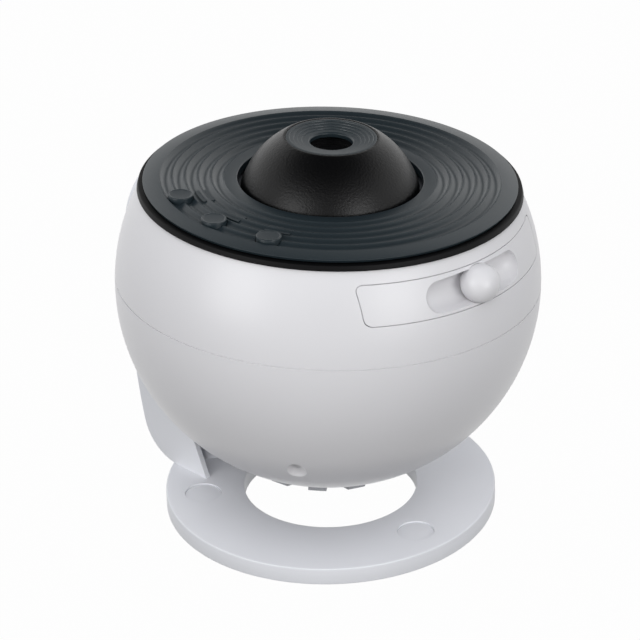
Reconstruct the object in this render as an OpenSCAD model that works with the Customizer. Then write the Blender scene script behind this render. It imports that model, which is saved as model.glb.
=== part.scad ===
// Home planetarium projector: a ball-shaped lamp house on a ring stand with one arm.
// Millimetres, +Z up.  The origin is on the table top, under the middle of the whole
// object.  +X points to the disc tray, -X to the arm and its pivot, -Y to the buttons.
// The ball is drawn about its own centre and then leaned back on its pivot.

/* [Ball] */
// Largest radius of the ball, at its equator
ball_r = 75; // [66:0.5:90]
// How much less the half height of the ball is than its radius
ball_squash = 2.3; // [0.5:0.1:6]
// Wall of the two half shells
wall = 2.4; // [1.8:0.1:3.2]
// Height of the seam between the half shells, from the centre of the ball
seam_z = 1.4; // [0:0.1:4]
// Width and depth of the small groove along the seam
seam_groove = 0.35; // [0.1:0.05:0.6]
// Lean of the ball on its pivot as it stands, in degrees
lean = 3.7; // [0:0.1:10]
// Height of the top edge of the upper shell
shell_top_z = 34.4; // [30:0.1:38]
// Radius of the opening in the bottom of the lower shell
shell_bottom_r = 31; // [26:0.5:36]

/* [Top plate] */
// Height of the plate's top face above the top edge of the upper shell
plate_rise = 4.2; // [3.6:0.1:5]
// Thickness of the plate
plate_t = 2.8; // [2.2:0.1:4]
// How far the plate's top edge lies inside the trim ring
plate_inset = 1.45; // [1:0.05:2.5]
// Height of the outer rim of the plate
plate_rim_h = 1.9; // [1.2:0.1:2.4]
// Radius of the round hole for the lens cone
plate_hole_r = 32.4; // [31:0.1:34]
// Radius of the innermost crest between the grooves
groove_first_r = 36.9; // [35:0.1:40]
// Distance from one crest to the next
groove_pitch = 4.56; // [3.6:0.02:4.7]
// Number of grooves
groove_count = 5; // [2:1:5]
// Depth of a groove
groove_depth = 1.15; // [0.4:0.05:1.5]
// Flat left on top of a crest
crest_flat = 0.25; // [0.1:0.05:0.8]
// How far the trim ring under the plate stands out of the ball
trim_proud = 0.6; // [0.2:0.1:1.2]

/* [Buttons] */
// Radius of a button
button_r = 4.4; // [3.5:0.1:5]
// Distance of the buttons from the axis of the plate
button_ring_r = 54.8; // [52:0.1:56]
// Direction of the middle button, in degrees from +X
button_dir = 268; // [255:1:285]
// Angle from one button to the next
button_step = 24; // [16:1:30]
// How far a button stands above the crests
button_proud = 1.1; // [0.9:0.1:2]
// How far a button can be pressed
button_travel = 0.8; // [0.4:0.1:0.9]
// Gap round a button
button_gap = 0.25; // [0.15:0.05:0.4]

/* [Vent cap] */
// Number of raised teeth round the vent cap
vent_count = 12; // [8:1:16]
// Direction of one tooth, in degrees from +X
vent_dir = 9.5; // [0:0.5:30]
// Radius of the middle of the row of teeth
vent_ring_r = 25.2; // [23:0.1:25.4]
// Radial length of a tooth
vent_tooth_l = 5; // [3:0.1:5.2]
// Width of a tooth
vent_tooth_w = 6.4; // [3:0.1:7]
// How far the teeth stand out of the ball
vent_proud = 2.2; // [0.5:0.1:3]
// Width of the air slots between the teeth
vent_slot_w = 3.6; // [2:0.1:3.8]

/* [Lens cone] */
// Radius of the cone's top edge
cone_top_r = 16.8; // [15:0.1:18]
// Height of the cone's top edge above the plate
cone_h = 15.6; // [12:0.1:20]
// Radius of the cone where it passes through the plate
cone_foot_r = 31.2; // [29:0.1:31.4]
// Radius of the curve of the cone's flank
cone_curve_r = 31; // [28:0.5:60]
// Wall of the cone
cone_wall = 2; // [1.5:0.1:2.5]
// Radius of the opening in front of the lens
aperture_r = 7.4; // [6:0.1:9]
// Number of steps in the funnel round the opening
bezel_steps = 4; // [2:1:6]
// Turn of the cone each way to focus, in degrees
focus_turn = 60; // [20:5:90]
// Rise of the lens barrel in one whole turn of the cone
focus_pitch = 12; // [4:1:15]

/* [Lens] */
// Outer radius of the sliding lens barrel
barrel_r = 13.9; // [12:0.1:14]
// Wall of the barrel
barrel_wall = 1.5; // [1:0.1:2]
// Length of the barrel
barrel_l = 20; // [16:0.5:22]
// Wall of the fixed sleeve round the barrel
sleeve_wall = 2.4; // [1.6:0.1:2.6]

/* [Disc tray] */
// Width of the tray's door
door_w = 86.2; // [80:0.2:88]
// Height of the door's lower edge above the centre of the ball
door_bottom_z = 16.3; // [15:0.1:18]
// Height of the door
door_h = 13.3; // [12:0.1:14]
// Radius of the door's corners
door_corner_r = 2.2; // [1:0.1:4]
// Gap round the door
door_gap = 0.3; // [0.2:0.05:0.5]
// Width of the finger scoop in the door
scoop_w = 46.5; // [36:0.5:54]
// Height of the finger scoop
scoop_h = 11.4; // [8:0.1:11.8]
// Depth of the finger scoop in the middle of the door
scoop_depth = 7; // [4:0.1:8]
// Radius of the round pull knob
knob_r = 6.8; // [5:0.1:7.2]

/* [Star disc] */
// Radius of the film disc
disc_r = 33; // [30:0.2:33.4]
// Teeth of the turning disc carrier
carrier_teeth = 96; // [96:4:96]
// Teeth of the motor's pinion
pinion_teeth = 12; // [12:1:14]
// Gear module of the carrier and the pinion
gear_module = 0.75; // [0.7:0.01:0.78]
// Backlash between carrier and pinion
backlash = 0.16; // [0.1:0.02:0.24]

/* [Ring stand] */
// Outer radius of the ring
ring_r = 59.6; // [54:0.2:66]
// Radius of the hole in the ring
ring_hole_r = 31.2; // [26:0.2:36]
// Thickness of the ring
ring_h = 6.4; // [5:0.1:9]
// Distance of the ring's centre from the ball's axis, towards the arm
ring_shift = 1.5; // [0:0.1:4]
// Gap between the bottom of the ball and the ring's top face
ring_gap = 11.4; // [9:0.1:20]
// Height of the rubber feet below the ring
foot_h = 0.6; // [0.4:0.1:1.5]
// Radius of a foot
foot_r = 5; // [3:0.5:7]
// Radius of a round plug in the ring's top face
plug_r = 6.5; // [4:0.1:8]

/* [Arm] */
// Depth from the arm's back at the pivot to the level of the ball's equator
arm_depth = 11.5; // [10:0.1:16]
// Radius of the upright curve of the arm's back
arm_curve_r = 245; // [200:1:400]
// Radius of the arm's rounded heel, where its back meets the ring
arm_heel_r = 17; // [12:0.5:24]
// Half of the arm's width at its foot
arm_foot_half_w = 29; // [20:0.5:30]
// Half of the arm's width at the pivot
arm_top_half_w = 19; // [16:0.5:22]
// Wall of the arm
arm_wall = 2; // [1.6:0.1:3]
// Gap between the ball and the arm
arm_gap = 4; // [3:0.1:4.8]
// Radius of the pivot pin
pivot_r = 4; // [3:0.1:5]
// Radius of the hub that the pin runs in
hub_r = 12; // [9:0.5:13]

/* [Lamp] */
// Radius of the condenser lens
condenser_r = 24; // [18:0.5:25]
// Radius of the heat sink
heatsink_r = 20; // [15:0.5:22]
// Number of fins on the heat sink
fin_count = 9; // [5:2:11]

/* [Hidden] */

$fn = 96;
eps = 0.01;
far = 200;

// Clearances
run = 0.06;        // shaft in its bearing
seat = 0.1;        // fixed piece in its pocket
slide_gap = 0.3;   // sliding flat faces

// Outer radius of the ball at a height, for a surface set in by some depth
half_height = ball_r - ball_squash;
function ball_at(z, inset = 0) =
    ball_squash + sqrt(pow(half_height - inset, 2) - z * z);

// Where the ball sits
ring_drop = half_height + ring_gap;
arm_reach = ball_r + arm_depth;
door_mid_z = door_bottom_z + door_h / 2;
door_face_x = ball_at(door_mid_z);
knob_reach = door_face_x + knob_r;
ball_z = foot_h + ring_h + ring_drop;
ball_x = (arm_reach - knob_reach) / 2;

plate_z = shell_top_z + plate_rise;
cone_top_z = plate_z + cone_h;
plate_rim_z = plate_z - plate_rim_h;
rim_gap = 0.3;
trim_top_z = plate_rim_z - rim_gap;
trim_r = ball_at(shell_top_z) + trim_proud;
plate_r = trim_r - plate_inset;
plate_under_z = plate_z - plate_t;
shell_top_in_r = ball_at(shell_top_z, wall);
trim_in_r = shell_top_in_r - 1.8;
trim_skirt_t = 1.6;
trim_skirt_h = 3;
plate_skirt_gap = 0.15;
land_half_angle = 5.6;
land_drop = 0.15;

// Button stack
button_top_z = plate_z + button_proud;
button_flange_t = 0.9;
button_flange_over = 1.2;
switch_w = 6;
switch_h = 2.2;
board_t = 1.6;
button_flange_z = plate_under_z - 0.1 - button_flange_t;
switch_top_z = button_flange_z - button_travel - 0.1;
button_board_z = switch_top_z - switch_h - board_t;
button_stem_r = 1.6;

// Focus parts
sleeve_in_r = barrel_r + run;
sleeve_r = sleeve_in_r + sleeve_wall;
focus_rise = focus_pitch * focus_turn / 360;
sleeve_flange_t = 2.4;
sleeve_boss_r = 3.4;
sleeve_boss_ring_r = 39.5;
sleeve_flange_r = sleeve_boss_ring_r + 4.5;
sleeve_boss_h = 2.2;
sleeve_flange_z = plate_under_z - sleeve_boss_h - sleeve_flange_t;
bezel_t = 3.4;
bezel_z = cone_top_z - bezel_t;
bezel_seat_r = cone_top_r - 0.8;
bezel_r = bezel_seat_r - seat;
bezel_drop = 1.4;
bezel_flat = 1.2;
web_t = 1.6;
sleeve_top_z = bezel_z - web_t - 0.4;
cone_bottom_z = sleeve_flange_z + sleeve_flange_t + slide_gap;
cone_bore_r = sleeve_r + run;
cone_tube_r = cone_bore_r + 1.8;
barrel_top_z = bezel_z - focus_rise - 0.6;
barrel_z = barrel_top_z - barrel_l;
barrel_in_r = barrel_r - barrel_wall;
barrel_ledge_r = barrel_in_r - 1.2;
barrel_seat_l = 7;
lens_r = barrel_in_r - seat;
lens_t = 5;
lens_edge_t = 1.6;
lens_ring_r = barrel_in_r - 1.6;
lens_face_r = lens_curve(lens_r, lens_t, lens_edge_t);
front_lens_z = barrel_top_z - barrel_seat_l - lens_fall(lens_face_r, barrel_ledge_r) + 0.05;
rear_lens_z = barrel_z + barrel_seat_l + lens_fall(lens_face_r, barrel_ledge_r) - 0.05 - lens_t;
// Middle of the circle that curves the cone's flank through its top edge and its foot
flank_dr = cone_foot_r - cone_top_r;
flank_dz = plate_under_z - cone_top_z;
flank_d = sqrt(flank_dr * flank_dr + flank_dz * flank_dz);
flank_h = sqrt(cone_curve_r * cone_curve_r - flank_d * flank_d / 4);
flank_mid_r = (cone_foot_r + cone_top_r) / 2 + flank_dz / flank_d * flank_h;
flank_mid_z = (plate_under_z + cone_top_z) / 2 - flank_dr / flank_d * flank_h;

// Tray stack, from below
guide_t = 2.4;
tray_bottom_z = door_bottom_z + door_gap + 0.2;
guide_top_z = tray_bottom_z - slide_gap;
guide_bottom_z = guide_top_z - guide_t;
tray_floor_t = 1.6;
tray_floor_z = tray_bottom_z + tray_floor_t;
tray_half_w = door_w / 2 - 1.3;
tray_wall_t = 1.3;
tray_wall_h = 5;
tray_wall_z = tray_floor_z + tray_wall_h;
guide_side_w = 3;
guide_half_w = tray_half_w + slide_gap + guide_side_w;
guide_lip = 1.6;
guide_lip_t = 1.4;
guide_lip_z = tray_wall_z + slide_gap;
guide_x1 = ball_r - 27;
guide_x0 = -guide_x1;
tray_x0 = 13 - ball_r;
knob_stem_r = 2.4;
light_r = 29;
carrier_pitch_r = gear_module * carrier_teeth / 2;
pinion_pitch_r = gear_module * pinion_teeth / 2;
gear_distance = carrier_pitch_r + pinion_pitch_r;
carrier_root_r = carrier_pitch_r - 1.25 * gear_module;
carrier_tip_r = carrier_pitch_r + 0.9 * gear_module;
collar_r = 31;
collar_h = 1.3;
carrier_z = tray_floor_z + slide_gap;
carrier_h = 3.6;
disc_t = 0.8;
disc_z = carrier_z + 2;
door_back_x = door_face_x - scoop_depth - 2.2;
scoop_floor_x = door_face_x - scoop_depth;

// Case screws and the bosses they join
boss_ring_r = ball_r - 17;
boss_dir = 304.5;
boss_count = 4;
boss_r = 5.2;
recess_r = 3.5;
boss_screw_r = 1.5;
chassis_t = 2.5;
chassis_top_z = -1.1;
chassis_z = chassis_top_z - chassis_t;
chassis_r = ball_r - 11;
boss_end_t = 3;
upper_boss_h = 12;

// Optics under the tray
housing_wall = 2.5;
condenser_t = 9;
condenser_edge_t = 2.2;
condenser_ledge_r = condenser_r - 2;
condenser_ledge_h = 4;
condenser_face_r = lens_curve(condenser_r, condenser_t, condenser_edge_t);
condenser_z = chassis_top_z + condenser_ledge_h - lens_fall(condenser_face_r, condenser_ledge_r) + 0.05;
lamp_tube_r = heatsink_r + 2;
lamp_tube_wall = 1.8;
lamp_tube_h = 28;
lamp_z = chassis_z - lamp_tube_h;
led_board_t = 1.6;
led_r = 4;
heatsink_h = 16;
motor_r = 7.5;
shaft_r = 1;
board_post_h = 6;
main_board_z = chassis_z - board_post_h;
main_board_r = ball_r - 18;

// Pivot stack along X, outwards from the ball
hub_end_x = -(ball_r + arm_gap - 1.6);
arm_face_x = -(ball_r + arm_gap + 1);
arm_pivot_x = -arm_reach;
washer_gap = 0.05;
pin_inner_x = 17 - ball_r;
nut_t = 3;
pin_head_r = 8.5;
pin_head_t = 2;
cap_t = 1.2;
arm_hub_r = arm_top_half_w + 1;
arm_hub_proud = 1;

// Power inlet at the back, low down
inlet_z = -30;
inlet_r = 5;
inlet_y = ball_at(inlet_z) - 9;

// Vent cap in the bottom of the ball
vent_lip_r = shell_bottom_r + 3;
vent_seat_z = 9 - half_height;
vent_screw_ring_r = shell_bottom_r - 2.2;
vent_edge_r = shell_bottom_r - door_gap;

// Back of the arm: an upright curve, and a heel that touches it and the ring
arm_curve_x = arm_reach - arm_hub_proud - arm_curve_r;
arm_heel_z = arm_heel_r - ring_drop;
arm_heel_x = arm_curve_x + sqrt(pow(arm_curve_r - arm_heel_r, 2) - arm_heel_z * arm_heel_z);
arm_touch_z = arm_heel_z * arm_curve_r / (arm_curve_r - arm_heel_r);

// Foot of the arm and ring details
arm_foot_x = 23.3 - ring_r;
arm_inner_x = 13.4 - ball_r;
arm_inner_z = -41.5;
ring_mid_r = (ring_r + ring_hole_r) / 2;
plug_ring_r = ring_mid_r + 1;
plug_dirs = [232, 355, 113];
plug_sunk = 0.5;
plug_t = 2;
foot_count = 4;
foot_in = 0.8;
arm_screw_x = (arm_foot_x - 54) / 2;
arm_screw_y = 15;
arm_screw_r = 1.5;

case_white = "#f2f2f4";
plate_grey = "#4a4f52";
cone_black = "#1a1b1d";
stand_grey = "#c9cace";
moulded_grey = "#6b6e72";
board_green = "#2f6b45";
steel = "#b8bcc0";
brass = "#c8a65a";
lens_blue = "#b9d3e6";

// ---------------------------------------------------------------- frames and helpers

// Puts a piece drawn about the ball's centre into its leaned place on the stand
module on_ball() translate([ball_x, 0, ball_z]) rotate([-lean, 0, 0]) children();

// Puts a piece of the stand, drawn about the ball's centre, upright in its place
module on_stand() translate([ball_x, 0, ball_z]) children();

module tube(r_out, r_in, h) difference() {
    cylinder(r = r_out, h = h);
    translate([0, 0, -eps]) cylinder(r = r_in, h = h + 2 * eps);
}

// Cylinder along +X from x0 to x1
module rod_x(r, x0, x1) translate([x0, 0, 0]) rotate([0, 90, 0]) cylinder(r = r, h = x1 - x0);

// Half of the ball's outline, set in by some depth
module ball_half(inset = 0) {
    intersection() {
        translate([ball_squash, 0]) circle(r = half_height - inset, $fn = 180);
        translate([ball_squash, -far]) square([far, 2 * far]);
    }
    translate([0, inset - half_height]) square([ball_squash, 2 * (half_height - inset)]);
}

module ball_body(inset = 0) rotate_extrude($fn = 180) ball_half(inset);

// Wall of the ball between two heights and two depths
module ball_wall(z0, z1, outside = 0, inside = wall) rotate_extrude($fn = 180) intersection() {
    difference() {
        ball_half(outside);
        ball_half(inside);
    }
    translate([0, z0]) square([far, z1 - z0]);
}

module rounded_rect(w, h, r) {
    square([w - 2 * r, h], center = true);
    square([w, h - 2 * r], center = true);
    for (x = [-1, 1], y = [-1, 1])
        translate([x * (w / 2 - r), y * (h / 2 - r)]) circle(r = r, $fn = 32);
}

// Prism along X with its outline in Y and Z
module prism_x(x0, x1) translate([x0, 0, 0]) rotate([90, 0, 90]) linear_extrude(x1 - x0) children();

// Outline of the door or of its opening
module door_outline(grow = 0) translate([0, door_mid_z])
    rounded_rect(door_w + 2 * grow, door_h + 2 * grow, door_corner_r + grow);

module at_bosses() for (i = [0:boss_count - 1])
    rotate([0, 0, boss_dir + i * 360 / boss_count]) translate([boss_ring_r, 0, 0]) children();

module at_sleeve_bosses() for (a = [30, 150, 270])
    rotate([0, 0, a]) translate([sleeve_boss_ring_r, 0, 0]) children();

module at_button(i) rotate([0, 0, button_dir + i * button_step])
    translate([button_ring_r, 0, 0]) children();

// Pan head screw pointing up, its head's underside at z = 0
module screw(r, l, head_r, head_h) difference() {
    union() {
        cylinder(r = r, h = l, $fn = 32);
        translate([0, 0, -head_h]) cylinder(r = head_r, h = head_h, $fn = 32);
    }
    for (a = [0, 90]) rotate([0, 0, a])
        translate([-head_r * 0.55, -0.3, -head_h - eps]) cube([head_r * 1.1, 0.6, head_h * 0.5]);
}

// ---------------------------------------------------------------- stand

module ring_outline(r0, r1) translate([-ring_shift, 0, -ring_drop - ring_h])
    rotate_extrude($fn = 180) polygon([[r0, 0.6], [r0 + 0.4, 0], [r1 - 0.4, 0], [r1, 0.4],
        [r1, ring_h - 0.7], [r1 - 0.5, ring_h], [r0 + 0.5, ring_h], [r0, ring_h - 0.5]]);

module at_plugs() for (a = plug_dirs) translate([-ring_shift, 0, -ring_drop])
    rotate([0, 0, a]) translate([plug_ring_r, 0, 0]) children();

module at_feet() for (i = [0:foot_count - 1]) translate([-ring_shift, 0, -ring_drop - ring_h])
    rotate([0, 0, 45 + i * 360 / foot_count]) translate([ring_mid_r, 0, 0]) children();

module at_arm_screws() for (s = [-1, 1])
    translate([arm_screw_x, s * arm_screw_y, -ring_drop]) children();

module stand_ring() color(stand_grey) on_stand() difference() {
    ring_outline(ring_hole_r, ring_r);
    at_plugs() translate([0, 0, -plug_t - plug_sunk]) cylinder(r = plug_r + seat, h = far);
    at_feet() translate([0, 0, -eps]) cylinder(r = foot_r + seat, h = foot_in + eps);
    at_arm_screws() {
        translate([0, 0, -ring_h - eps]) cylinder(r = arm_screw_r + seat, h = far, $fn = 32);
        translate([0, 0, -ring_h - eps]) cylinder(r = 3.2, h = 2.6, $fn = 32);
    }
}

module ring_plugs() color(stand_grey) on_stand()
    at_plugs() translate([0, 0, -plug_t - plug_sunk]) cylinder(r = plug_r, h = plug_t);

module rubber_feet() color("#2c2d2f") on_stand()
    at_feet() translate([0, 0, -foot_h]) cylinder(r = foot_r, h = foot_h + foot_in);

// Side outline of the arm in X and Z, outside the sloping edge of its foot
module arm_side() polygon([[arm_foot_x, -ring_drop], [arm_inner_x, arm_inner_z],
    [arm_inner_x, far], [-far, far], [-far, -ring_drop]]);

// Front outline of the arm in Y and Z, set in by some depth
module arm_front(inset = 0) {
    polygon([[-arm_foot_half_w + inset, -ring_drop], [arm_foot_half_w - inset, -ring_drop],
        [arm_top_half_w - inset, 0], [-arm_top_half_w + inset, 0]]);
    circle(r = arm_hub_r - inset);
}

// Round back of the arm, set in by some depth
module arm_back(inset = 0) rotate_extrude($fn = 180) {
    intersection() {
        translate([arm_curve_x, 0]) circle(r = arm_curve_r - inset, $fn = 360);
        translate([0, arm_touch_z]) square([far, arm_hub_r + 5 - arm_touch_z]);
    }
    intersection() {
        union() {
            translate([arm_heel_x, arm_heel_z]) circle(r = arm_heel_r - inset, $fn = 96);
            translate([0, -ring_drop]) square([arm_heel_x, ring_drop]);
        }
        translate([0, -ring_drop]) square([far, ring_drop + arm_touch_z + eps]);
    }
}

module arm_block(inset = 0) intersection() {
    arm_back(inset);
    prism_x(-far, 0) arm_front(inset);
    translate([0, far, 0]) rotate([90, 0, 0]) linear_extrude(2 * far) arm_side();
}

module stand_arm() color(stand_grey) on_stand() difference() {
    union() {
        difference() {
            arm_block();
            sphere(r = ball_r + arm_gap, $fn = 180);
            difference() {
                arm_block(arm_wall);
                // closed floor of the arm, and the hub wall round the pivot
                translate([-far, -far, -ring_drop]) cube([far, 2 * far, arm_wall]);
                rod_x(hub_r + 2, -far, 0);
            }
        }
        // round boss on the back, over the pivot
        rod_x(pin_head_r + 2.5, arm_pivot_x, arm_face_x);
        // screw bosses that stand on the floor of the arm
        intersection() {
            arm_block();
            at_arm_screws() cylinder(r = 3.6, h = 11, $fn = 32);
        }
    }
    rod_x(hub_r + 2.5, arm_face_x, 0);
    rod_x(pivot_r + seat / 2, -far, 0);
    rod_x(pin_head_r + seat, -far, arm_pivot_x + cap_t + pin_head_t);
    at_arm_screws() translate([0, 0, -eps]) cylinder(r = arm_screw_r, h = 8, $fn = 32);
}

module arm_screws() color(steel) on_stand()
    at_arm_screws() translate([0, 0, 2.5 - ring_h]) screw(arm_screw_r - 0.05, 10.5, 2.8, 1.6);

// ---------------------------------------------------------------- pivot

module pivot_pin() color(steel) on_stand() {
    rod_x(pin_head_r, arm_pivot_x + cap_t, arm_pivot_x + cap_t + pin_head_t);
    rod_x(pivot_r, arm_pivot_x + cap_t + pin_head_t - eps, pin_inner_x);
}

module pivot_cap() color(stand_grey) on_stand()
    rod_x(pin_head_r, arm_pivot_x + 0.1, arm_pivot_x + cap_t);

module friction_washer() color("#303234") on_stand() difference() {
    rod_x(hub_r - 1, arm_face_x + washer_gap, hub_end_x - washer_gap);
    rod_x(pivot_r + seat, -far, 0);
}

module pivot_nut() color(brass) on_stand() difference() {
    prism_x(pin_inner_x - nut_t, pin_inner_x) circle(r = 7, $fn = 6);
    rod_x(pivot_r, -far, 0);
}

module pivot_hub() color(moulded_grey) on_ball() difference() {
    union() {
        rod_x(hub_r, hub_end_x, pin_inner_x - nut_t - 0.2);
        rod_x(hub_r + 3, -(ball_at(0, wall) - 1.9), -(ball_at(0, wall) - 5));
    }
    rod_x(pivot_r + run, -far, 0);
}

// ---------------------------------------------------------------- case

module lower_shell() color(case_white) on_ball() difference() {
    union() {
        difference() {
            ball_wall(-half_height, seam_z);
            translate([0, 0, -far]) cylinder(r = shell_bottom_r, h = far - 50);
            // small groove along the seam
            translate([0, 0, seam_z - seam_groove / 2]) tube(far, ball_at(seam_z) - seam_groove, 5);
        }
        // bosses for the case screws
        intersection() {
            at_bosses() translate([0, 0, -far]) cylinder(r = boss_r, h = far + chassis_z, $fn = 48);
            ball_body(wall / 2);
        }
        // seat for the power inlet
        intersection() {
            translate([0, 0, inlet_z]) rotate([-90, 0, 0]) cylinder(r = inlet_r + 2, h = far);
            ball_body(wall / 2);
            translate([-far, inlet_y, -far]) cube([2 * far, far, 2 * far]);
        }
        // ring that the vent cap screws to
        intersection() {
            ball_body(wall / 2);
            translate([0, 0, vent_seat_z]) tube(vent_lip_r, shell_bottom_r - 3.5, 3);
        }
    }
    at_bosses() {
        translate([0, 0, -far]) cylinder(r = recess_r, h = far + chassis_z - boss_end_t, $fn = 48);
        cylinder(r = boss_screw_r + seat, h = far, center = true, $fn = 32);
    }
    rod_x(hub_r + seat, -far, 0);
    translate([0, 0, inlet_z]) rotate([-90, 0, 0]) cylinder(r = inlet_r + seat, h = far);
    at_vent_screws() translate([0, 0, vent_seat_z - 1]) cylinder(r = 1.25, h = 3, $fn = 32);
}

module at_vent_screws() for (i = [0:3]) rotate([0, 0, vent_dir + 1.5 * 360 / vent_count + i * 90])
    translate([vent_screw_ring_r, 0, 0]) children();

// Round grille that closes the bottom of the ball
module vent_cap() color("#b4b6ba") on_ball() difference() {
    union() {
        rotate_extrude($fn = 180) intersection() {
            difference() {
                ball_half(0);
                ball_half(2);
            }
            translate([0, -far]) square([vent_edge_r, far - 30]);
        }
        intersection() {
            ball_body(1);
            translate([0, 0, -far]) cylinder(r = vent_edge_r, h = far + vent_seat_z - 0.05);
            at_vent_screws() translate([0, 0, -far]) cylinder(r = 2.6, h = far, $fn = 32);
        }
        // raised teeth between the slots
        intersection() {
            rotate_extrude($fn = 180) intersection() {
                difference() {
                    ball_half(-vent_proud);
                    ball_half(1);
                }
                translate([vent_ring_r - vent_tooth_l / 2, -far]) square([vent_tooth_l, far - 30]);
            }
            for (i = [0:vent_count - 1]) rotate([0, 0, vent_dir + i * 360 / vent_count])
                translate([0, -vent_tooth_w / 2, -far]) cube([far, vent_tooth_w, far]);
        }
    }
    for (i = [0:vent_count - 1]) rotate([0, 0, vent_dir + (i + 0.5) * 360 / vent_count])
        translate([vent_ring_r - 5.5, -vent_slot_w / 2, -far]) cube([6, vent_slot_w, far]);
    at_vent_screws() {
        translate([0, 0, -far]) cylinder(r = 2.2, h = far + vent_seat_z - 2.1, $fn = 32);
        translate([0, 0, -far]) cylinder(r = 1.35, h = far, $fn = 32);
    }
}

module vent_cap_screws() color(steel) on_ball() at_vent_screws()
    translate([0, 0, vent_seat_z - 2.15]) screw(1.2, 4, 2, 1.2);

module upper_shell() color(case_white) on_ball() difference() {
    union() {
        difference() {
            ball_wall(seam_z, shell_top_z);
            translate([0, 0, seam_z + seam_groove / 2 - 5])
                tube(far, ball_at(seam_z) - seam_groove, 5);
        }
        // bosses for the case screws, each on a rib to the wall
        intersection() {
            at_bosses() {
                translate([0, 0, chassis_top_z]) cylinder(r = boss_r, h = upper_boss_h, $fn = 48);
                translate([0, -1.2, seam_z]) cube([far, 2.4, upper_boss_h + chassis_top_z - seam_z]);
            }
            ball_body(wall / 2);
        }
    }
    at_bosses() translate([0, 0, chassis_top_z - eps])
        cylinder(r = boss_screw_r, h = upper_boss_h - 2, $fn = 32);
    rod_x(hub_r + seat, -far, 0);
    prism_x(40, far) door_outline(door_gap);
}

module case_screws() color(steel) on_ball() at_bosses()
    translate([0, 0, chassis_z - boss_end_t]) screw(boss_screw_r - 0.05, 13, 2.9, 1.8);

module trim_ring() color(cone_black) on_ball() rotate_extrude($fn = 180) difference() {
    union() {
        translate([trim_in_r, shell_top_z]) square([trim_r - trim_in_r, trim_top_z - shell_top_z]);
        translate([trim_in_r, shell_top_z - trim_skirt_h])
            square([trim_skirt_t, trim_skirt_h + trim_top_z - shell_top_z]);
    }
    translate([trim_r, trim_top_z]) rotate(45) square([0.5, 0.5], center = true);
}

// ---------------------------------------------------------------- top plate

module plate_outline() difference() {
    union() {
        translate([plate_hole_r, plate_under_z])
            square([trim_in_r - plate_skirt_gap - plate_hole_r, plate_t]);
        polygon([[trim_in_r - 1, plate_z], [plate_r - 0.7, plate_z], [plate_r, plate_z - 0.7],
            [plate_r + 0.4, plate_rim_z + 0.2], [plate_r + 0.2, plate_rim_z],
            [trim_in_r - 1, plate_rim_z]]);
        // skirt that drops inside the trim ring
        translate([trim_in_r - plate_skirt_gap - 1, plate_under_z - 2.5]) square([1, 3]);
    }
    for (i = [0:groove_count - 1]) groove(groove_first_r + (i + 0.5) * groove_pitch);
    translate([plate_hole_r, plate_z]) rotate(45) square([0.6, 0.6], center = true);
}

// Hollow of one groove, a shallow arc
module groove(r_mid) {
    half = (groove_pitch - crest_flat) / 2;
    groove_r = (half * half + groove_depth * groove_depth) / (2 * groove_depth);
    translate([r_mid, plate_z + groove_r - groove_depth]) circle(r = groove_r, $fn = 72);
}

// Flat land beside a button, across one crest
module label_land(i) rotate([0, 0, button_dir + i * button_step - land_half_angle])
    rotate_extrude(angle = 2 * land_half_angle)
        translate([groove_first_r + 1.5 * groove_pitch, plate_z - groove_depth - 0.4])
            square([groove_pitch, groove_depth + 0.4 - land_drop]);

module top_plate() color(plate_grey) on_ball() difference() {
    union() {
        rotate_extrude($fn = 180) plate_outline();
        for (i = [-1:1]) label_land(i);
        at_sleeve_bosses() translate([0, 0, plate_under_z - sleeve_boss_h])
            cylinder(r = sleeve_boss_r, h = sleeve_boss_h + eps, $fn = 32);
        for (i = [-1.5, 1.5]) at_button(i) translate([0, 0, button_board_z + board_t])
            cylinder(r = 2.4, h = plate_under_z - button_board_z - board_t + eps, $fn = 32);
    }
    for (i = [-1:1]) at_button(i) cylinder(r = button_r + button_gap, h = far, $fn = 48);
    at_sleeve_bosses() translate([0, 0, plate_under_z - sleeve_boss_h - eps])
        cylinder(r = 1.2, h = sleeve_boss_h + 1, $fn = 32);
    for (i = [-1.5, 1.5]) at_button(i) translate([0, 0, button_board_z])
        cylinder(r = 0.9, h = 4, $fn = 32);
}

module button(i) color(plate_grey) on_ball() at_button(i) {
    difference() {
        translate([0, 0, button_flange_z + button_flange_t - eps])
            cylinder(r = button_r, h = button_top_z - button_flange_z - button_flange_t + eps, $fn = 48);
        // narrow bevel round the top edge
        translate([0, 0, button_top_z]) rotate_extrude($fn = 48)
            translate([button_r, 0]) rotate(45) square([0.5, 0.5], center = true);
    }
    translate([0, 0, button_flange_z]) cylinder(r = button_r + button_flange_over, h = button_flange_t, $fn = 48);
}

module button_left() button(-1);
module button_middle() button(0);
module button_right() button(1);

module button_board() color(board_green) on_ball() difference() {
    rotate([0, 0, button_dir - 1.85 * button_step]) rotate_extrude(angle = 3.7 * button_step)
        translate([button_ring_r - 6, button_board_z]) square([11, board_t]);
    for (i = [-1.5, 1.5]) at_button(i) cylinder(r = 1.1, h = far, $fn = 32);
}

module button_switches() color("#202224") on_ball() for (i = [-1:1]) at_button(i) {
    translate([-switch_w / 2, -switch_w / 2, button_board_z + board_t])
        cube([switch_w, switch_w, switch_h - 0.4]);
    translate([0, 0, button_board_z + board_t]) cylinder(r = button_stem_r, h = switch_h, $fn = 32);
}

// ---------------------------------------------------------------- focus cone and lens

module focus_sleeve() color(moulded_grey) on_ball() difference() {
    union() {
        translate([0, 0, sleeve_flange_z]) cylinder(r = sleeve_flange_r, h = sleeve_flange_t);
        translate([0, 0, sleeve_flange_z]) cylinder(r = sleeve_r, h = sleeve_top_z - sleeve_flange_z);
    }
    cylinder(r = sleeve_in_r, h = far);
    at_sleeve_bosses() cylinder(r = 1.4, h = far, $fn = 32);
}

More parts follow.
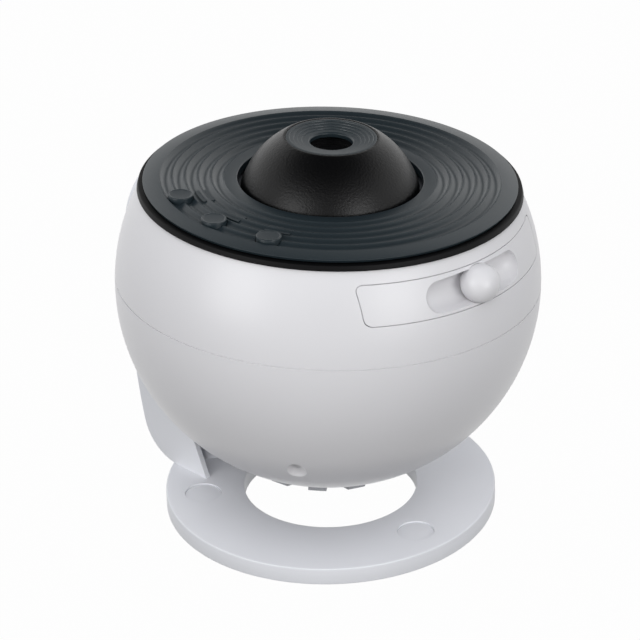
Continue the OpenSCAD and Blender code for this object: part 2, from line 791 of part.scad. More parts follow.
module sleeve_screws() color(steel) on_ball() at_sleeve_bosses()
    translate([0, 0, sleeve_flange_z]) screw(1.15, sleeve_flange_t + 2.4, 2.4, 1.5);

// Outline of the cone's flank, set in by some depth
module cone_outline(inset = 0) intersection() {
    translate([flank_mid_r, flank_mid_z]) circle(r = cone_curve_r - inset, $fn = 240);
    translate([0, cone_bottom_z]) square([far, cone_top_z - cone_bottom_z]);
    translate([0, cone_bottom_z]) square([cone_foot_r - inset, far]);
}

module focus_cone() color(cone_black) on_ball() rotate_extrude($fn = 180) {
    difference() {
        cone_outline();
        difference() {
            cone_outline(cone_wall);
            translate([0, bezel_z - web_t]) square([far, far]);
        }
        // seat for the bezel
        translate([0, bezel_z]) square([bezel_seat_r, far]);
        // way through for the barrel
        square([barrel_r + 0.5, far]);
    }
    // tube that turns on the sleeve
    translate([cone_bore_r, cone_bottom_z + 2])
        square([cone_tube_r - cone_bore_r, bezel_z - web_t - cone_bottom_z - 2 + eps]);
}

// Stepped funnel round the opening in front of the lens
module lens_bezel() color("#3c3f42") on_ball() rotate_extrude($fn = 120) difference() {
    translate([aperture_r, bezel_z + seat / 2]) square([bezel_r - aperture_r, bezel_t - seat / 2]);
    for (i = [0:bezel_steps - 1]) {
        step_r = aperture_r + (bezel_r - bezel_flat - aperture_r) * (1 - 0.55 * i / bezel_steps);
        translate([0, cone_top_z - bezel_drop * (i + 1) / bezel_steps]) square([step_r, far]);
    }
}

module lens_barrel() color("#26282a") on_ball() rotate_extrude() difference() {
    translate([0, barrel_z]) square([barrel_r, barrel_l]);
    translate([0, barrel_z - 1]) square([barrel_ledge_r, barrel_l + 2]);
    translate([0, barrel_top_z - barrel_seat_l]) square([barrel_in_r, far]);
    translate([0, barrel_z - 1]) square([barrel_in_r, barrel_seat_l + 1]);
}

// Radius of both faces of a lens, and how far such a face falls at some radius
function lens_curve(r, t, edge_t) = (r * r + pow((t - edge_t) / 2, 2)) / (t - edge_t);
function lens_fall(curve_r, r) = curve_r - sqrt(curve_r * curve_r - r * r);

// Lens with two curved faces, between z0 and z1, with a straight edge of edge_t
module lens(r, z0, z1, edge_t) {
    curve_r = lens_curve(r, z1 - z0, edge_t);
    rotate_extrude() intersection() {
        translate([0, z0 + curve_r]) circle(r = curve_r, $fn = 180);
        translate([0, z1 - curve_r]) circle(r = curve_r, $fn = 180);
        translate([0, z0]) square([r, z1 - z0]);
    }
}

module front_lens() color(lens_blue, 0.5) on_ball()
    lens(lens_r, front_lens_z, front_lens_z + lens_t, lens_edge_t);

module barrel_ring() color("#26282a") on_ball()
    translate([0, 0, front_lens_z + lens_t - lens_fall(lens_face_r, lens_ring_r) + 0.05])
        tube(barrel_in_r - 0.05, lens_ring_r, 2.6);

module rear_lens() color(lens_blue, 0.5) on_ball()
    lens(lens_r, rear_lens_z, rear_lens_z + lens_t, lens_edge_t);

module lens_spacer() color("#26282a") on_ball()
    translate([0, 0, rear_lens_z + lens_fall(lens_face_r, lens_ring_r) - 0.05 - 2.6])
        tube(barrel_in_r - 0.05, lens_ring_r, 2.6);

// ---------------------------------------------------------------- chassis and tray

module chassis() color(moulded_grey) on_ball() difference() {
    translate([0, 0, chassis_z]) cylinder(r = chassis_r, h = chassis_t);
    cylinder(r = condenser_r - 3, h = far, center = true);
    at_bosses() cylinder(r = boss_screw_r + seat, h = far, center = true, $fn = 32);
    // notch for the pivot hub
    translate([pin_inner_x + 4 - far, -hub_r - 4, -far / 2]) cube([far, 2 * hub_r + 8, far]);
    at_lamp_screws() cylinder(r = 1.25, h = far, center = true, $fn = 32);
    at_board_posts() cylinder(r = 1.25, h = far, center = true, $fn = 32);
    at_guide_posts() cylinder(r = 1.25, h = far, center = true, $fn = 32);
}

module at_lamp_screws() for (a = [60:120:300])
    rotate([0, 0, a]) translate([lamp_tube_r + 4.5, 0, 0]) children();

module at_board_posts() for (x = [-36, 36], y = [14, 34]) translate([x, y, 0]) children();

module at_guide_posts() for (x = [-28, 28], y = [-1, 1])
    translate([x, y * (guide_half_w - 5), 0]) children();

// Bed that the tray slides in, on four posts
module tray_guide() color(moulded_grey) on_ball() difference() {
    union() {
        intersection() {
            union() {
                translate([guide_x0, -guide_half_w, guide_bottom_z])
                    cube([guide_x1 - guide_x0, 2 * guide_half_w, guide_t]);
                for (s = [0, 1]) mirror([0, s, 0]) {
                    translate([guide_x0, tray_half_w + slide_gap, guide_bottom_z])
                        cube([guide_x1 - guide_x0, guide_side_w, guide_lip_z - guide_bottom_z]);
                    translate([guide_x0, tray_half_w + slide_gap - guide_lip, guide_lip_z])
                        cube([guide_x1 - guide_x0, guide_side_w + guide_lip, guide_lip_t]);
                }
            }
            ball_body(wall + 1);
        }
        at_guide_posts() translate([0, 0, chassis_top_z])
            cylinder(r = 3.4, h = guide_bottom_z - chassis_top_z + eps, $fn = 32);
    }
    translate([0, 0, guide_bottom_z - 1]) cylinder(r = light_r, h = guide_t + 2);
    translate([-gear_distance, 0, 0]) cylinder(r = pinion_pitch_r + 2, h = far);
    at_guide_posts() translate([0, 0, chassis_top_z - eps]) cylinder(r = 1.2, h = 8, $fn = 32);
}

module guide_screws() color(steel) on_ball() at_guide_posts()
    translate([0, 0, chassis_z]) screw(1.15, chassis_t + 6, 2.4, 1.5);

module disc_tray() color(cone_black) on_ball() difference() {
    union() {
        intersection() {
            union() {
                translate([tray_x0, -tray_half_w, tray_bottom_z])
                    cube([door_back_x - tray_x0, 2 * tray_half_w, tray_floor_t]);
                for (s = [0, 1]) mirror([0, s, 0])
                    translate([tray_x0, tray_half_w - tray_wall_t, tray_bottom_z])
                        cube([door_back_x - tray_x0, tray_wall_t, tray_floor_t + tray_wall_h]);
                translate([tray_x0, -tray_half_w, tray_bottom_z])
                    cube([tray_wall_t, 2 * tray_half_w, tray_floor_t + tray_wall_h]);
                translate([door_back_x - tray_wall_t, -scoop_w / 2, tray_bottom_z])
                    cube([tray_wall_t, scoop_w, tray_floor_t + tray_wall_h]);
            }
            ball_body(wall + 0.4);
        }
        translate([0, 0, tray_bottom_z]) cylinder(r = collar_r, h = tray_floor_t + collar_h);
    }
    translate([0, 0, tray_bottom_z - 1]) cylinder(r = light_r, h = far);
    // way for the pinion
    translate([-gear_distance - far, -pinion_pitch_r - 2.5, tray_bottom_z - 1])
        cube([far, 2 * pinion_pitch_r + 5, far]);
    translate([-gear_distance, 0, tray_bottom_z - 1]) cylinder(r = pinion_pitch_r + 2.5, h = far);
}

module tray_door() color(case_white) on_ball() difference() {
    union() {
        intersection() {
            ball_wall(door_bottom_z, door_bottom_z + door_h);
            prism_x(30, far) door_outline();
        }
        // thicker block behind the scoop
        intersection() {
            ball_body(0.5);
            prism_x(door_back_x, far) translate([0, door_mid_z])
                square([scoop_w + 3, door_h - 0.4], center = true);
        }
    }
    prism_x(scoop_floor_x, far) translate([0, door_mid_z])
        rounded_rect(scoop_w, scoop_h, scoop_h / 2 - 0.01);
    translate([0, 0, door_mid_z]) rod_x(knob_stem_r + seat, 0, far);
    translate([door_face_x, 0, door_mid_z]) sphere(r = knob_r + seat, $fn = 96);
}

module tray_knob() color(case_white) on_ball() translate([0, 0, door_mid_z]) {
    intersection() {
        translate([door_face_x, 0, 0]) sphere(r = knob_r, $fn = 96);
        translate([scoop_floor_x + 0.1, -far, -far]) cube([far, 2 * far, 2 * far]);
    }
    rod_x(knob_stem_r, door_back_x + 0.3, door_face_x);
}

// Straight-sided gear outline: tip, pitch and root circles, tooth narrowed by the backlash
module gear_outline(teeth, pitch_r, root_r, tip_r, slack) {
    circle(r = root_r, $fn = 144);
    pitch_half = PI * pitch_r / teeth / 2 - slack / 2;
    for (i = [0:teeth - 1]) rotate(i * 360 / teeth)
        polygon([[root_r - 0.3, -pitch_half * 1.45], [pitch_r, -pitch_half], [tip_r, -pitch_half * 0.5],
            [tip_r, pitch_half * 0.5], [pitch_r, pitch_half], [root_r - 0.3, pitch_half * 1.45]]);
}

module disc_carrier() color("#dfe0e2") on_ball() translate([0, 0, carrier_z]) difference() {
    linear_extrude(carrier_h)
        gear_outline(carrier_teeth, carrier_pitch_r, carrier_root_r, carrier_tip_r, backlash);
    translate([0, 0, -eps]) cylinder(r = collar_r + run, h = disc_z - carrier_z - 0.8 + eps);
    translate([0, 0, -eps]) cylinder(r = light_r, h = far);
    translate([0, 0, disc_z - carrier_z]) cylinder(r = disc_r + seat, h = far);
}

module star_disc() color("#23252b") on_ball() translate([0, 0, disc_z + 0.05]) cylinder(r = disc_r, h = disc_t);

module motor_pinion() color(brass) on_ball() translate([-gear_distance, 0, carrier_z]) difference() {
    rotate([0, 0, 180 / pinion_teeth]) linear_extrude(carrier_h)
        gear_outline(pinion_teeth, pinion_pitch_r, pinion_pitch_r - 1.25 * gear_module,
            pinion_pitch_r + 0.9 * gear_module, backlash);
    translate([0, 0, -eps]) cylinder(r = shaft_r, h = far, $fn = 32);
}

module drive_motor() color(steel) on_ball() translate([-gear_distance, 0, chassis_top_z]) difference() {
    cylinder(r = motor_r, h = guide_bottom_z - chassis_top_z - 0.3);
    for (s = [0, 180]) rotate([0, 0, s]) translate([motor_r - 0.8, -far / 2, -eps]) cube([far, far, far]);
    translate([0, 0, -eps]) cylinder(r = shaft_r + run, h = far, $fn = 32);
}

module motor_shaft() color(steel) on_ball() translate([-gear_distance, 0, chassis_top_z + 1])
    cylinder(r = shaft_r, h = carrier_z + carrier_h - chassis_top_z - 1, $fn = 32);

module condenser_housing() color(cone_black) on_ball() translate([0, 0, chassis_top_z]) difference() {
    cylinder(r = condenser_r + housing_wall, h = guide_bottom_z - chassis_top_z - 0.05);
    translate([0, 0, -eps]) cylinder(r = condenser_ledge_r, h = far);
    translate([0, 0, condenser_ledge_h]) cylinder(r = condenser_r + seat, h = far);
}

module condenser_lens() color(lens_blue, 0.5) on_ball()
    lens(condenser_r, condenser_z, condenser_z + condenser_t, condenser_edge_t);

module condenser_ring() color("#26282a") on_ball()
    translate([0, 0, condenser_z + condenser_t - lens_fall(condenser_face_r, condenser_ledge_r) + 0.05])
        tube(condenser_r + seat - 0.05, condenser_ledge_r, 2.2);

module lamp_housing() color(steel) on_ball() difference() {
    union() {
        translate([0, 0, lamp_z]) cylinder(r = lamp_tube_r, h = lamp_tube_h);
        translate([0, 0, chassis_z - 2]) cylinder(r = lamp_tube_r + 8, h = 2);
    }
    translate([0, 0, -far / 2]) cylinder(r = lamp_tube_r - lamp_tube_wall, h = far);
    at_lamp_screws() cylinder(r = 1.4, h = far, center = true, $fn = 32);
}

module lamp_screws() color(steel) on_ball() at_lamp_screws()
    translate([0, 0, chassis_z - 2]) screw(1.2, 4.3, 2.4, 1.5);

module led_board() color(board_green) on_ball() translate([0, 0, lamp_z + 0.1])
    cylinder(r = lamp_tube_r - lamp_tube_wall - seat, h = led_board_t);

module led_lamp() color("#f0d070") on_ball() translate([0, 0, lamp_z + 0.1 + led_board_t]) {
    translate([-5, -5, 0]) cube([10, 10, 1]);
    translate([0, 0, 1]) intersection() {
        sphere(r = led_r);
        translate([-far / 2, -far / 2, 0]) cube(far);
    }
}

module heat_sink() color(steel) on_ball() translate([0, 0, lamp_z + 0.05 - heatsink_h]) difference() {
    cylinder(r = lamp_tube_r - lamp_tube_wall - seat, h = heatsink_h);
    fin_pitch = 2 * heatsink_r / fin_count;
    for (i = [0:fin_count]) translate([-far, -heatsink_r + (i - 0.3) * fin_pitch, -eps])
        cube([2 * far, fin_pitch * 0.6, heatsink_h - 3]);
}

module main_board() color(board_green) on_ball() {
    difference() {
        translate([0, 0, main_board_z - board_t]) intersection() {
            cylinder(r = main_board_r, h = board_t);
            translate([-46, 8, -far]) cube([92, 44, 2 * far]);
        }
        cylinder(r = lamp_tube_r + 9.5, h = far, center = true);
        at_bosses() cylinder(r = boss_r + 1, h = far, center = true);
        at_board_posts() cylinder(r = 1.4, h = far, center = true, $fn = 32);
    }
    at_board_posts() translate([0, 0, main_board_z]) tube(2.6, 1.3, board_post_h - 0.02, $fn = 32);
    for (p = [[-30, 30], [24, 38], [0, 44]]) translate([p[0] - 4, p[1] - 3, main_board_z - eps])
        cube([8, 6, 2]);
}

module board_screws() color(steel) on_ball() at_board_posts()
    translate([0, 0, main_board_z - board_t]) screw(1.15, board_t + board_post_h + 2, 2.2, 1.4);

module dc_inlet() color("#1c1d1f") on_ball() translate([0, 0, inlet_z]) rotate([-90, 0, 0]) {
    difference() {
        translate([0, 0, inlet_y - 4]) cylinder(r = inlet_r, h = 12);
        translate([0, 0, inlet_y - 2]) cylinder(r = 2.9, h = far);
    }
    translate([0, 0, inlet_y - 2.5]) cylinder(r = 1, h = 9, $fn = 32);
}

stand_ring();
ring_plugs();
rubber_feet();
stand_arm();
arm_screws();
pivot_pin();
friction_washer();
pivot_nut();
pivot_cap();
pivot_hub();
lower_shell();
vent_cap();
vent_cap_screws();
upper_shell();
case_screws();
trim_ring();
top_plate();
button_left();
button_middle();
button_right();
button_board();
button_switches();
focus_sleeve();
sleeve_screws();
focus_cone();
lens_bezel();
lens_barrel();
front_lens();
lens_spacer();
rear_lens();
barrel_ring();
chassis();
tray_guide();
guide_screws();
disc_tray();
tray_door();
tray_knob();
disc_carrier();
star_disc();
drive_motor();
motor_shaft();
motor_pinion();
condenser_housing();
condenser_lens();
condenser_ring();
lamp_housing();
lamp_screws();
led_board();
led_lamp();
heat_sink();
main_board();
board_screws();
dc_inlet();
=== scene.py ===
"""Home planetarium projector: its visible pieces, their materials and a plain stage."""

import math

import bmesh
import bpy
from mathutils import Matrix, Vector


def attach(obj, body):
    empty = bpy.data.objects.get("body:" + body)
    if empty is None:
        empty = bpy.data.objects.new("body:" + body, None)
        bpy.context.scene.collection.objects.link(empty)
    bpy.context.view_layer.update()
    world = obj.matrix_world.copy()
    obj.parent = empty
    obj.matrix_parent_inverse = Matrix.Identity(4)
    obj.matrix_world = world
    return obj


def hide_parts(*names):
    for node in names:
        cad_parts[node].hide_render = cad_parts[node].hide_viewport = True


bl_info = {
    "name": "Planetarium projector",
    "version": (1, 0, 0),
    "blender": (4, 5, 0),
    "location": "3D View > Sidebar > Projector",
    "description": "Makes the pieces and materials of a home planetarium projector",
    "category": "Add Mesh",
}

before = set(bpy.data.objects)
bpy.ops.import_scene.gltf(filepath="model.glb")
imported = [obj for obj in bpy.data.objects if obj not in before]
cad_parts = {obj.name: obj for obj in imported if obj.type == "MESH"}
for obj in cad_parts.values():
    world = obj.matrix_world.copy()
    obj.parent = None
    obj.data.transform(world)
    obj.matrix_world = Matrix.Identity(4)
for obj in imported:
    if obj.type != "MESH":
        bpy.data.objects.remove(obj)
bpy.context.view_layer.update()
MM = 0.001


# ------------------------------------------------------------------ sizes and colours


def millimetres(name, text, value):
    """A length property that is typed in millimetres."""
    return bpy.props.FloatProperty(name=name, description=text, default=value, min=0.0)


class ProjectorSizes(bpy.types.PropertyGroup):
    """Sizes of the projector, in millimetres, as in the frame that it is built on."""

    ball_radius: millimetres("Ball radius", "Largest radius of the ball, at its equator", 75.0)
    ball_squash: millimetres("Ball squash", "How much less the half height of the ball is than its radius", 2.3)
    shell_wall: millimetres("Shell wall", "Wall of the two half shells", 2.4)
    seam_height: millimetres("Seam height", "Height of the seam over the centre of the ball", 1.4)
    seam_groove: millimetres("Seam groove", "Width and depth of the groove along the seam", 0.4)
    lean: bpy.props.FloatProperty(
        name="Lean", description="How far the ball leans back on its pivot", default=math.radians(3.7), subtype="ANGLE"
    )
    shell_top: millimetres("Shell top", "Height of the upper shell's top edge", 34.4)
    trim_flare: millimetres("Trim flare", "How much wider the trim ring is at its foot than at its top", 0.5)
    plate_top: millimetres("Plate top", "Height of the plate's top face", 38.6)
    plate_radius: millimetres("Plate radius", "Outer radius of the plate's top face", 65.5)
    plate_fall: millimetres("Plate fall", "How much lower the plate's rim is than its crests", 0.8)
    plate_hole: millimetres("Plate hole", "Radius of the hole for the lens cone", 32.4)
    first_crest: millimetres("First crest", "Radius of the innermost crest between grooves", 36.9)
    groove_pitch: millimetres("Groove pitch", "Distance from one crest to the next", 4.56)
    groove_depth: millimetres("Groove depth", "Depth of a groove", 1.15)
    groove_count: bpy.props.IntProperty(name="Grooves", description="Number of grooves", default=5, min=1)
    land_depth: millimetres("Land depth", "Depth below the plate's top of the lands beside the buttons", 0.6)
    button_radius: millimetres("Button radius", "Radius of a push button", 4.4)
    button_ring: millimetres("Button ring", "Distance of the buttons from the plate's axis", 54.8)
    button_proud: millimetres("Button height", "How far a button stands above the plate", 1.1)
    cone_top: millimetres("Cone top", "Height of the lens cone's top edge", 54.2)
    cone_top_radius: millimetres("Cone top radius", "Radius of the cone's top edge", 16.8)
    cone_foot_radius: millimetres("Cone foot radius", "Radius of the cone in the plate's hole", 31.2)
    aperture_radius: millimetres("Aperture", "Radius of the opening over the lens", 7.4)
    door_width: millimetres("Door width", "Width of the disc tray's door", 86.2)
    door_bottom: millimetres("Door bottom", "Height of the door's lower edge", 16.3)
    door_height: millimetres("Door height", "Height of the door", 13.3)
    door_gap: millimetres("Door gap", "Gap round the door", 0.3)
    scoop_width: millimetres("Scoop width", "Width of the finger scoop", 46.5)
    scoop_height: millimetres("Scoop height", "Height of the finger scoop", 11.4)
    scoop_depth: millimetres("Scoop depth", "Depth of the finger scoop in its middle", 7.0)
    scoop_squareness: bpy.props.FloatProperty(
        name="Scoop squareness", description="1 for a round finger scoop, less for a square one", default=0.8
    )
    knob_radius: millimetres("Knob radius", "Radius of the pull knob", 6.8)
    ring_radius: millimetres("Ring radius", "Outer radius of the stand's ring", 59.6)
    ring_hole: millimetres("Ring hole", "Radius of the hole in the ring", 31.2)
    ring_height: millimetres("Ring height", "Thickness of the ring", 6.4)
    ring_shift: millimetres("Ring shift", "Distance of the ring's centre from the ball's axis", 1.5)
    ring_drop: millimetres("Ring drop", "Depth of the ring's top below the ball's centre", 84.1)
    foot_height: millimetres("Foot height", "Height of the rubber feet below the ring", 0.6)
    plug_radius: millimetres("Plug radius", "Radius of a round plug in the ring", 6.5)
    arm_reach: millimetres("Arm reach", "Reach of the arm's back at the pivot", 86.5)
    arm_curve: millimetres("Arm curve", "Radius of the upright curve of the arm's back", 245.0)
    arm_heel: millimetres("Arm heel", "Radius of the rounded heel where the arm's back meets the ring", 17.0)
    arm_foot: millimetres("Arm foot", "Half of the arm's width at its foot", 29.0)
    arm_top: millimetres("Arm top", "Half of the arm's width at the pivot", 19.0)
    arm_wall: millimetres("Arm wall", "Wall of the arm", 2.0)
    arm_inner: millimetres("Arm inner edge", "Distance of the arm's inner edge from the ball's axis", 61.6)
    arm_foot_inner: millimetres("Arm foot's inner edge", "Distance of the foot's inner edge from the ball's axis", 36.3)
    arm_slope: millimetres("Arm slope", "Depth under the ball's centre where the inner edge starts to slope", 41.5)


def paint(name, text, code):
    """A colour property, given as an sRGB hex code."""
    return bpy.props.FloatVectorProperty(
        name=name, description=text, default=linear(code), size=4, subtype="COLOR", min=0.0, max=1.0
    )


def linear(code):
    """Linear RGBA of an sRGB hex code."""
    parts = [int(code[i : i + 2], 16) / 255 for i in (1, 3, 5)]
    return [c / 12.92 if c <= 0.04045 else ((c + 0.055) / 1.055) ** 2.4 for c in parts] + [1.0]


class ProjectorColours(bpy.types.PropertyGroup):
    """Colours of the projector's pieces and of its stage."""

    ball: paint("Ball", "White of the half shells, the door and the knob", "#e5e4e6")
    plate: paint("Plate", "Grey of the grooved plate, the buttons and the funnel", "#222c31")
    cone: paint("Cone", "Black of the lens cone", "#050506")
    trim: paint("Trim", "Black of the trim ring under the plate", "#050506")
    # the stand's cool tone is its own; that it is paler than the ball's white is painted light, for the light that the
    # ball keeps off the ring
    stand: paint("Stand", "Cool white of the ring and the arm", "#eff0f4")
    # the vent's grey is painted shade: the stand's pale plastic set darker for the shade under the ball
    vent: paint("Vent", "Grey of the vent cap under the ball", "#a2a3a7")
    moulding: paint("Inner mouldings", "Grey of the parts inside the ball", "#54575b")
    board: paint("Boards", "Green of the circuit boards", "#1f5a39")
    backdrop: paint("Backdrop", "White of the floor and the backdrop", "#ffffff")


# fixed sizes, in millimetres; headings in degrees
LATHE_WELD, CARVE_WELD = 0.002, 0.003  # vertices nearer than this become one
SEAM_LIP = 0.05  # height over which the ball's skin turns in to the seam's groove
INSIDE, OUTSIDE = 40, 100  # along X, from inside the ball's wall to well clear of it
DOOR_FILLET = 2.2
PIVOT_HOLE = 12.1  # radius of the shells' opening for the hub
SCREW_RING, SCREW_HEADING = 58, 304.5  # the four case screws
INLET_RADIUS, INLET_HEIGHT = 5.1, -30
VENT_HOLE, VENT_CAP, VENT_WALL = 31, 30.7, 2
VENT_COUNT, VENT_FIRST, VENT_PITCH = 12, 9.5, 30
POLE_GAP = 0.001  # keeps the start of an arc within the arc's own radius
TRIM_DROP, TRIM_PROUD, TRIM_INSET = 2.2, 0.6, 1.8
PLATE_THICK, PLATE_RIM = 2.8, 1.9
CREST_HALF = 0.12  # half the flat left on a crest
LAND_FOOT, LAND_HALF_ANGLE = 1.6, 5.6
BUTTON_HEADINGS, BUTTON_GAP = (244, 268, 292), 0.25
FUNNEL_THICK, FUNNEL_STEPS, FUNNEL_RISER = 3.4, 4, 0.38
PLUG_HEADINGS = (232, 355, 113)
TONE_MM = 18.0  # spacing of the slow changes of tone in a moulding
COAT_ROUGHNESS = 0.12
VIEW_HEADING = 45  # of the camera, round the object


def sizes():
    """The sizes in use."""
    return bpy.context.scene.projector_sizes


def colours():
    """The colours in use."""
    return bpy.context.scene.projector_colours


# ------------------------------------------------------------------ places


def ball_centre():
    """Centre of the ball in the frame that all pieces share, in millimetres."""
    s = sizes()
    reach = ball_radius_at(door_middle()) + s.knob_radius
    return Vector(((s.arm_reach - reach) / 2, 0, s.foot_height + s.ring_height + s.ring_drop))


def ball_radius_at(z, inset=0.0):
    """Radius of the ball at a height over its centre."""
    s = sizes()
    half = s.ball_radius - s.ball_squash - inset
    return s.ball_squash + math.sqrt(half * half - z * z)


def door_middle():
    """Height of the door's middle over the centre of the ball."""
    return sizes().door_bottom + sizes().door_height / 2


def on_ball():
    """Transform from millimetres about the ball's centre to its leaned place in the shared frame."""
    lean = Matrix.Rotation(-sizes().lean, 4, "X")
    return Matrix.Scale(MM, 4) @ Matrix.Translation(ball_centre()) @ lean


def on_stand():
    """Transform from millimetres about the ball's centre to the upright stand."""
    return Matrix.Scale(MM, 4) @ Matrix.Translation(ball_centre())


# ------------------------------------------------------------------ mesh tools


def outline(bm, corners):
    """Adds a face in the XZ plane from (x, z, fillet) corners, each rounded by its fillet."""
    verts = [bm.verts.new((x, 0, z)) for x, z, _ in corners]
    bm.faces.new(verts)
    for vert, (_, _, fillet) in zip(verts, corners):
        if fillet > 0:
            bmesh.ops.bevel(
                bm, geom=[vert], offset=fillet, offset_type="OFFSET", segments=4, profile=0.5,
                affect="VERTICES", material=-1, clamp_overlap=True,
            )


def rectangle(left, right, bottom, top, fillet=0):
    """Corners of a rectangle with the same fillet all round."""
    return [(left, bottom, fillet), (right, bottom, fillet), (right, top, fillet), (left, top, fillet)]


def lathe(corners, steps):
    """Closed solid of revolution about Z from an outline in the XZ plane."""
    bm = bmesh.new()
    outline(bm, corners)
    bmesh.ops.delete(bm, geom=bm.faces[:], context="FACES_ONLY")
    bmesh.ops.spin(
        bm, geom=bm.verts[:] + bm.edges[:], cent=(0, 0, 0), axis=(0, 0, 1), angle=2 * math.pi,
        steps=steps, use_merge=True, use_duplicate=False,
    )
    bmesh.ops.remove_doubles(bm, verts=bm.verts[:], dist=LATHE_WELD)
    bmesh.ops.recalc_face_normals(bm, faces=bm.faces[:])
    return bm


def arc(centre, radius, start, end, count):
    """(x, z, 0) corners along an arc, angles in degrees."""
    turn = [math.radians(start + (end - start) * i / count) for i in range(count + 1)]
    return [(centre[0] + radius * math.cos(a), centre[1] + radius * math.sin(a), 0) for a in turn]


def ball_arc(low, high, inset, count):
    """Corners along the ball's outline from one height to another."""
    s = sizes()
    half = s.ball_radius - s.ball_squash - inset
    start, end = (math.degrees(math.asin(z / half)) for z in (low, high))
    return arc((s.ball_squash, 0), half, start, end, count)


def prism(corners, low, high, axis="X"):
    """Prism along X (corners are y, z) or along Z (corners are x, y) from low to high."""
    bm = bmesh.new()
    outline(bm, corners)
    flat = Matrix(((1, 0, 0, 0), (0, 0, 1, 0), (0, 1, 0, 0), (0, 0, 0, 1)))
    turn = Matrix.Rotation(math.pi / 2, 4, "Z") if axis == "X" else flat
    bmesh.ops.transform(bm, matrix=turn, verts=bm.verts[:])
    along = Vector((1, 0, 0)) if axis == "X" else Vector((0, 0, 1))
    bmesh.ops.translate(bm, vec=along * low, verts=bm.verts[:])
    out = bmesh.ops.extrude_face_region(bm, geom=bm.faces[:])
    moved = [v for v in out["geom"] if isinstance(v, bmesh.types.BMVert)]
    bmesh.ops.translate(bm, vec=along * (high - low), verts=moved)
    bmesh.ops.recalc_face_normals(bm, faces=bm.faces[:])
    return bm


def rod(radius, low, high, steps, fillet=0.0, hole=0.0):
    """Round bar or tube about Z from low to high."""
    corners = [(hole, low, 0), (radius, low, fillet), (radius, high, fillet), (hole, high, 0)]
    return lathe(corners, steps)


def along_x(bm):
    """Turns a solid about Z so that its axis lies along X."""
    bmesh.ops.transform(bm, matrix=Matrix.Rotation(math.pi / 2, 4, "Y"), verts=bm.verts[:])
    return bm


def moved(bm, x=0.0, y=0.0, z=0.0, turn=0.0):
    """Turns a solid about Z, in degrees, and then shifts it."""
    matrix = Matrix.Translation((x, y, z)) @ Matrix.Rotation(math.radians(turn), 4, "Z")
    bmesh.ops.transform(bm, matrix=matrix, verts=bm.verts[:])
    return bm


def polar(radius, degrees):
    """x and y of a place on a circle."""
    return radius * math.cos(math.radians(degrees)), radius * math.sin(math.radians(degrees))


def mesh_of(name, bm):
    """Mesh of a finished solid."""
    mesh = bpy.data.meshes.new(name)
    bm.to_mesh(mesh)
    bm.free()
    return mesh


def placed(name, data):
    """Object of a mesh, camera or lamp, in the scene."""
    item = bpy.data.objects.new(name, data)
    bpy.context.scene.collection.objects.link(item)
    return item


def joined(*solids):
    """Several solids in one bmesh."""
    whole = solids[0]
    for bm in solids[1:]:
        mesh = mesh_of("part", bm)
        whole.from_mesh(mesh)
        bpy.data.meshes.remove(mesh)
    return whole


def carve(bm, tool, operation="DIFFERENCE"):
    """Boolean of one solid with another."""
    body, cutter = (placed(name, mesh_of(name, solid)) for name, solid in (("solid", bm), ("tool", tool)))
    modifier = body.modifiers.new("carve", "BOOLEAN")
    modifier.operation = operation
    modifier.object = cutter
    modifier.solver = "EXACT"
    result = bmesh.new()
    result.from_object(body, bpy.context.evaluated_depsgraph_get())
    for item in (body, cutter):
        mesh = item.data
        bpy.data.objects.remove(item)
        bpy.data.meshes.remove(mesh)
    bmesh.ops.remove_doubles(result, verts=result.verts[:], dist=CARVE_WELD)
    return result


def piece(name, bm, matrix, material, body, nodes, sharp=32):
    """Makes an object of a finished solid, ties it to its body and hides the nodes of the frame that it stands for."""
    bmesh.ops.transform(bm, matrix=matrix, verts=bm.verts[:])
    mesh = mesh_of(name, bm)
    mesh.polygons.foreach_set("use_smooth", [True] * len(mesh.polygons))
    mesh.set_sharp_from_angle(angle=math.radians(sharp))
    item = placed(name, mesh)
    mesh.materials.append(material)
    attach(item, body)
    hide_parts(*nodes)


# ------------------------------------------------------------------ materials


def add_node(tree, kind, settings=None, links=None):
    """Adds a shader node, sets its properties or sockets and links its inputs."""
    node = tree.nodes.new(kind)
    for key, value in (settings or {}).items():
        if isinstance(key, str) and hasattr(node, key):
            setattr(node, key, value)
        else:
            node.inputs[key].default_value = value
    for key, source in (links or {}).items():
        tree.links.new(source, node.inputs[key])
    return node


def blank_material(name):
    """A new material; returns it, its tree, its Principled BSDF and its Object coordinates."""
    material = bpy.data.materials.get(name)
    if material:
        bpy.data.materials.remove(material)
    material = bpy.data.materials.new(name)
    material.use_nodes = True
    tree = material.node_tree
    tree.nodes.clear()
    shader = add_node(tree, "ShaderNodeBsdfPrincipled")
    add_node(tree, "ShaderNodeOutputMaterial", links={"Surface": shader.outputs["BSDF"]})
    return material, tree, shader, add_node(tree, "ShaderNodeTexCoord").outputs["Object"]


def shaded(colour, factor):
    """A colour made darker or paler by a factor."""
    return [min(1.0, c * factor) for c in colour[:3]] + [1.0]


def per_mm(size):
    """Texture scale at which a pattern repeats about once in size millimetres."""
    return 1.0 / (size * MM)


